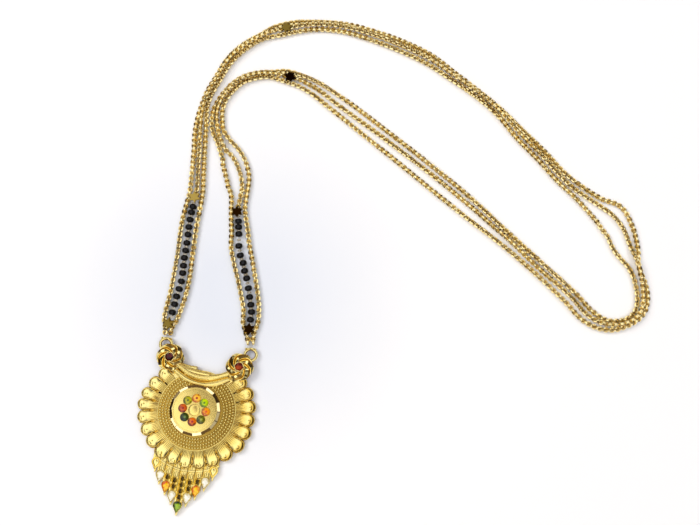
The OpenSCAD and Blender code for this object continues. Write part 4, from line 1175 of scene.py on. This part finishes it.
# The rail runs over so many degrees to either side of straight down
RAIL_HALF_SWING = 33
swing = np.radians(np.linspace(270 - RAIL_HALF_SWING, 270 + RAIL_HALF_SWING, 90))
path = np.stack([RAIL_R * np.cos(swing), RAIL_R * np.sin(swing), np.full(90, RAIL_Z)], -1)
RAIL = [[0.4, -0.9], [0.4, 0.25], [0.25, 0.42], [0, 0.47], [-0.25, 0.42], [-0.4, 0.25], [-0.4, -0.9]]
rail = carried(path, RAIL)
ridges = [ridge(k, k + 1) for k in range(8)]
# A wire arch: its radius, how far its middle hangs under the rail, its legs' length, the wire's
# radius and its height
ARCH_R, ARCH_HANG, ARCH_LEG, ARCH_WIRE, ARCH_Z = 0.85, 1.1, 1.1, 0.17, 1.4


def arch(x):
    """Half a circle of wire over the head of a column, with a straight leg on each side."""
    top = -math.sqrt((RAIL_R + RAIL_HALF) ** 2 - x * x) - ARCH_HANG
    swing = np.linspace(0, np.pi, 16)
    bow = np.stack([ARCH_R * np.cos(swing), top + ARCH_R * np.sin(swing)], -1)
    path = np.concatenate([[[ARCH_R, top - ARCH_LEG]], bow, [[-ARCH_R, top - ARCH_LEG]]])
    path = np.column_stack([x + path[:, 0], path[:, 1], np.full(len(path), ARCH_Z)])
    return carried(path, oval(ARCH_WIRE, ARCH_WIRE, 8))


arches = [arch(x) for x in PLACES[1:-1, 0]]
plain = join(rail, *ridges, *arches)
fringe = join(*[b[0] for b in bands], plain)
grime_and_shade = np.concatenate([*[b[1] for b in bands], np.zeros(len(plain[0]))])
add_piece("fringe_columns", in_pendant(fringe), cast_gold, painted_shade_and_dirt=grime_and_shade)

# %% [markdown]
# ## Drops
# A drop's outline is a circle with two tangents that meet in a point. All outlines of one family
# are alike, so a cup is a set of them, each with a size and a height: up the outside, over the
# lip and down to the floor. An extruded outline with a bevel comes close, but its lip would be of
# one roundness all the way down.

# %% Drop outline and cups
# Width of a drop, how far its point lies from its round middle, and how far that lies above the
# column's end; points of an outline
DROP_W, DROP_POINT, DROP_RISE, DROP_POINTS = 3.1, 2.85, 0.65, 60


def drop_outline(r, n=DROP_POINTS):
    """n points at equal steps round a circle of radius r that runs out in two tangents to a point,
    DROP_POINT * r / (DROP_W / 2) below its middle."""
    tip = DROP_POINT * r / (DROP_W / 2)
    lean = math.asin(r / tip)
    arc = np.linspace(-lean, np.pi + lean, 400)
    line = np.stack([r * np.cos(arc), r * np.sin(arc)], -1)
    line = np.concatenate([[[0, -tip]], line, [[0, -tip]]])
    s = chords(line)
    at = (np.arange(n) + 0.5) / n * s[-1]
    return np.stack([np.interp(at, s, line[:, 0]), np.interp(at, s, line[:, 1])], -1)


def drop_grid(x, y, rows):
    """Rows of (outline radius, height) over the drop at (x, y)."""
    return np.stack([
        np.column_stack([drop_outline(r) + [x, y + DROP_RISE], np.full(DROP_POINTS, z)]) for r, z in rows
    ])


# Columns of both: radius of the outline and height. Seven drops hold enamel, two are full.
OPEN_DROP = [
    [0.1, 0.85], [1.29, 0.9], [1.32, 1.7], [1.36, 1.84], [1.43, 1.9], [1.5, 1.84], [1.55, 1.65],
    [1.55, 0.2], [1.48, 0.1], [0.1, 0.1],
]
FULL_DROP = [
    [0.1, 1.95], [0.5, 1.94], [0.9, 1.85], [1.15, 1.68], [1.22, 1.6], [1.3, 1.74], [1.4, 1.88],
    [1.5, 1.84], [1.55, 1.65], [1.55, 0.2], [1.48, 0.1], [0.1, 0.1],
]
# Outline of the small leaf behind a drop's point
TIP = np.array([[0, -3.6], [0.24, -3.15], [0.5, -2.2], [0, -1.6], [-0.5, -2.2], [-0.24, -3.15]])


def leaf_tip(x, y):
    """A small pointed leaf behind the drop's point: its outline at three heights."""
    rows = [(1.0, 0.1), (1.0, 0.95), (0.72, 1.15)]
    middle = TIP.mean(0)
    ring = [
        np.column_stack([middle + k * (TIP - middle) + [x, y + DROP_RISE], np.full(len(TIP), z)])
        for k, z in rows
    ]
    return skin(np.stack(ring))


kinds = [FULL_DROP, *[OPEN_DROP] * 7, FULL_DROP]
metal = [skin(drop_grid(x, y, kind)) for (x, y), kind in zip(PLACES, kinds)]
tips = [leaf_tip(x, y) for x, y in PLACES]
add_piece("drop_cups", in_pendant(join(*metal, *tips)), cast_gold)

# %% Drops of enamel
DROP_FILL_R = DROP_W / 2 - 0.28
DROP_KINDS = [
    ("white", "white_enamel"), ("amber", "amber_enamel"), ("white", "white_enamel"),
    ("green_drop", "lime_enamel"),
    ("white", "white_enamel"), ("amber", "amber_enamel"), ("white", "white_enamel"),
]
share = np.linspace(0.06, 1, 10)
rows = [*zip(share * DROP_FILL_R, 1.68 + 0.22 * (1 - share ** 2)), (DROP_FILL_R, 1.05), (0.1, 1.0)]
for k, ((x, y), (kind, slot)) in enumerate(zip(PLACES[1:-1], DROP_KINDS), 1):
    add_enamel(f"drop_fill_{k}", drop_grid(x, y, rows), kind, f"drop_enamel_{k}")

# %% [markdown]
# ## Rings that join it all
# Two jump rings of round wire carry the pendant. Each passes through a small upright eye under its
# rosette and through two end links, one for each strand that ends there. A torus would do for a
# plain ring, but `copies` also stands one on edge and turns it to face the ring it hangs on.

# %% Jump rings, eyes and end links
# Each ring's x, y and radius in the pendant's frame, and the direction of its two end links
JUMP_RINGS = {"left": (-15.25, 21.2, 2.0, 86), "right": (14.9, 22.1, 2.05, 92.5)}
# The jump rings' wire and height, and an eye's radius and its wire's
RING_WIRE, RING_Z, EYE_R, EYE_WIRE = 1.05, 1.4, 0.92, 0.23
# An end link's radius and its wire's, how far it stands to either side and outwards, and its height
LINK_R, LINK_WIRE_R, LINK_SIDE, LINK_SHIFT, LINK_Z = 1.15, 0.3, 0.62, 0.1, 1.47


def upright(r, wire, x, y, z, turn):
    """A wire ring that stands on edge, its plane turned to the given direction."""
    a = math.radians(turn)
    ahead, aside = [math.cos(a), math.sin(a), 0], [math.sin(a), -math.cos(a), 0]
    return copies(wire_ring(r, wire, 32, 10), np.array([[x, y, z]]), ahead, [0, 0, 1], aside)


for side, (x, y, r, turn) in JUMP_RINGS.items():
    ring = wire_ring(r, RING_WIRE / 2, 56, 14)
    # Painted shade browns the inner and lower sides of the wire
    inner = r - np.hypot(ring[0][:, 0], ring[0][:, 1])
    grime_and_shade = np.clip(0.35 + 1.2 * inner - 0.9 * ring[0][:, 2], 0, 0.9)
    ring = in_pendant(moved(ring, [x, y, RING_Z]))
    add_piece(f"jump_ring_wire_{side}", ring, wire_gold, [f"jump_ring_{side}"], grime_and_shade)
    to = unit(np.array(ROSETTES[side][:2]) - [x, y])
    faced = math.degrees(math.atan2(to[1], to[0]))
    eye = upright(EYE_R, EYE_WIRE, x + r * to[0], y + r * to[1], RING_Z, faced)
    add_piece(f"rosette_eye_{side}", in_pendant(eye), wire_gold)
    out = math.sqrt(r * r - LINK_SIDE ** 2) + LINK_SHIFT
    a = math.radians(turn) - PENDANT_TURN
    pair = [
        upright(
            LINK_R, LINK_WIRE_R,
            x + out * math.cos(a) - k * LINK_SIDE * math.sin(a),
            y + out * math.sin(a) + k * LINK_SIDE * math.cos(a),
            LINK_Z, math.degrees(a),
        )
        for k in (-1, 1)
    ]
    pair = join(*pair)
    # Painted shade browns the lower part of each end link
    grime_and_shade = np.clip(0.9 - 0.75 * (pair[0][:, 2] - LINK_Z + 0.3), 0, 0.9)
    pair = in_pendant(pair)
    add_piece(f"end_link_pair_{side}", pair, wire_gold, [f"end_links_{side}"], grime_and_shade)

# %% [markdown]
# ## Table and light
# The necklace lies on matt white card. Metal shows its shape by what it mirrors, so the light on
# the card and the light in the gold are made apart. Two soft lamps, a strong one on the left and a
# weak one on the right, give the card its light and shadows but are kept out of reflections. The
# gold mirrors a room instead. A photographed room would be livelier, but it can't be fitted to the
# facets: here each of nine small windows stands where a facet of the medallion mirrors it.

# %% Table
TABLE_HALF = 3000.0
corners = np.array([[-1, -1, 0], [1, -1, 0], [1, 1, 0], [-1, 1, 0]]) * TABLE_HALF * MM
mesh = bpy.data.meshes.new("white_card")
mesh.from_pydata(corners.tolist(), [], [[0, 1, 2, 3]])
# Uncoated white card, pressed smooth: matt and clouded by its fibres, with painted shade that
# makes it a little greyer and bluer beside the necklace's left half.
card, tree, shader, place = finish("matt_white_card", Roughness=0.7)
fibre = add_node(tree, "ShaderNodeTexNoise", {"Vector": place, "Scale": per_mm(25), "Detail": 3.0})
# Places and distances on the card are in metres, as its Object coordinates are
CARD_SHADE_MIDDLE, CARD_SHADE_NEAR, CARD_SHADE_FAR = (-0.06, -0.015, 0.0), 0.012, 0.075
away = {0: place, 1: CARD_SHADE_MIDDLE}
far = add_node(tree, "ShaderNodeVectorMath", away, operation="DISTANCE").outputs["Value"]
span = {"Value": far, "From Min": CARD_SHADE_NEAR, "From Max": CARD_SHADE_FAR}
spread = add_node(tree, "ShaderNodeMapRange", span).outputs[0]
cloudy = {0: fibre.outputs[0], 1: 0.1, 2: spread}
shaken = add_node(tree, "ShaderNodeMath", cloudy, operation="MULTIPLY_ADD").outputs[0]
shade_to_white = {0: shaken, 6: linear("#E3E8F2"), 7: linear("#FDFDFE")}
pale = add_node(tree, "ShaderNodeMix", shade_to_white, data_type="RGBA")
# Painted shade and a painted reflection of the gold: under the fringe's openings the card is a dark gold.
FRINGE_MIDDLE, UNDER_FRINGE_FULL, UNDER_FRINGE_END = (-0.0739, -0.0798, 0.0), 0.0055, 0.0065
away = {0: place, 1: FRINGE_MIDDLE}
near = add_node(tree, "ShaderNodeVectorMath", away, operation="DISTANCE").outputs["Value"]
span = {"Value": near, "From Min": UNDER_FRINGE_FULL, "From Max": UNDER_FRINGE_END, "To Min": 1.0, "To Max": 0.0}
under_fringe_shade = add_node(tree, "ShaderNodeMapRange", span).outputs[0]
under_fringe_tones = {0: under_fringe_shade, 6: pale.outputs[2], 7: linear("#A88E4A")}
lit = add_node(tree, "ShaderNodeMix", under_fringe_tones, data_type="RGBA")
tree.links.new(lit.outputs[2], shader.inputs["Base Color"])
mesh.materials.append(card)
table = bpy.data.objects.new("white_card", mesh)
bpy.context.scene.collection.objects.link(table)
print("card, m across:", 2 * TABLE_HALF * MM)


# %% Lamps
LIT_MIDDLE = [-20, -10, 0]


def lamp(name, power, size, azimuth, elevation, distance, colour):
    """A square soft lamp (watts, metres) that faces the necklace from a distance in millimetres. No
    surface mirrors it."""
    data = bpy.data.lights.new(name, "AREA")
    data.energy, data.size = power, size
    data.color = linear(colour)[:3]
    holder = bpy.data.objects.new(name, data)
    aim(holder, LIT_MIDDLE, distance, azimuth, elevation)
    holder.visible_glossy = False
    print(f"lamp {name}: {power} W, {size} m wide, {distance * MM} m away")


lamp("key", 13, 0.8, -112, 46, 1800, "#FFFBF4")
lamp("side", 2, 0.7, 96, 50, 1600, "#FFF8EC")

# %% Room helpers
# Columns: azimuth and elevation in degrees, and brightness
WINDOWS = [
    (-143, 8, 1.8), (-124, 6, 0.3), (-67, 8, 1.8), (-47, 11, 1.8), (-3, 19, 1.8), (47, 25, 0.5),
    (74, 26, 0.5), (101, 25, 1.5), (152, 19, 1.8),
]
world = bpy.data.worlds.new("dim_studio")
bpy.context.scene.world = world
world.use_nodes = True
tree = world.node_tree
back = tree.nodes["Background"]
ray = add_node(tree, "ShaderNodeTexCoord").outputs["Generated"]
parts = add_node(tree, "ShaderNodeSeparateXYZ", {0: ray})


def toward(azimuth, elevation, near, far):
    """1 within near degrees of a direction, falling to 0 at far degrees."""
    a, e = math.radians(azimuth), math.radians(elevation)
    at = (math.sin(a) * math.cos(e), -math.cos(a) * math.cos(e), math.sin(e))
    along = add_node(tree, "ShaderNodeVectorMath", {0: ray, 1: at}, operation="DOT_PRODUCT")
    span = {
        "Value": along.outputs["Value"],
        "From Min": math.cos(math.radians(far)), "From Max": math.cos(math.radians(near)),
    }
    return add_node(tree, "ShaderNodeMapRange", span, interpolation_type="SMOOTHSTEP").outputs[0]


def add_light(total, value, gain):
    """total + gain * value."""
    terms = {0: value, 1: gain, 2: total}
    return add_node(tree, "ShaderNodeMath", terms, operation="MULTIPLY_ADD").outputs[0]


def ramp(value, low, high, at_low, at_high):
    """A smooth step from at_low, where value is low or less, to at_high, where it is high or more."""
    return add_node(
        tree, "ShaderNodeMapRange",
        {"Value": value, "From Min": low, "From Max": high, "To Min": at_low, "To Max": at_high},
        interpolation_type="SMOOTHSTEP",
    ).outputs[0]


def product(a, b):
    """a * b."""
    return add_node(tree, "ShaderNodeMath", {0: a, 1: b}, operation="MULTIPLY").outputs[0]


# %% The room that the gold mirrors
# A bright ceiling over dim walls. Each ramp reads one part of the direction that a ray goes: -1 to
# 1 from left to right, from near to far, and from floor to ceiling.
light = ramp(parts.outputs[2], 0.4, 0.8, 0.2, 1.48)
across = add_node(tree, "ShaderNodeMath", {0: parts.outputs[0]}, operation="ABSOLUTE").outputs[0]
along = add_node(tree, "ShaderNodeMath", {0: parts.outputs[1]}, operation="ABSOLUTE").outputs[0]
dark_strip = product(ramp(across, 0.06, 0.16, 1.0, 0.0), ramp(along, 0.45, 0.7, 1.0, 0.0))
dark_strip = product(dark_strip, ramp(parts.outputs[1], -0.16, -0.03, 0.0, 1.0))
# The left wall keeps a fifth of that light, the right one three tenths.
light = product(light, ramp(parts.outputs[0], -0.82, -0.52, 0.2, 1.0))
light = product(light, ramp(parts.outputs[0], 0.35, 0.65, 1.0, 0.3))
dark_disc = toward(198, 74, 7, 12)
shade = add_node(tree, "ShaderNodeMath", {0: dark_strip, 1: dark_disc}, operation="MAXIMUM").outputs[0]
light = product(light, ramp(shade, 0.0, 1.0, 1.0, 0.14))
# Degrees from a window's middle to where it starts to fade and to where it ends
WINDOW_FULL, WINDOW_END = 5, 8
windows = 0.0
for azimuth, elevation, gain in WINDOWS:
    windows = add_light(windows, toward(azimuth, elevation, WINDOW_FULL, WINDOW_END), gain)
light = add_light(light, windows, 1.0)
# Walls and shade are warm, windows and ceiling are not.
clear = ramp(windows, 0.0, 0.5, 1.0, 0.0)
walls = ramp(parts.outputs[2], 0.45, 0.8, 0.7, 0.0)
warm = add_node(tree, "ShaderNodeMath", {0: walls, 1: shade}, operation="MAXIMUM").outputs[0]
warm = product(warm, clear)
tones = {0: warm, 6: linear("#F8FAFF"), 7: linear("#CE9A50")}
sky = add_node(tree, "ShaderNodeMix", tones, data_type="RGBA")
tree.links.new(sky.outputs[2], back.inputs["Color"])
tree.links.new(light, back.inputs["Strength"])
print("windows:", len(WINDOWS))
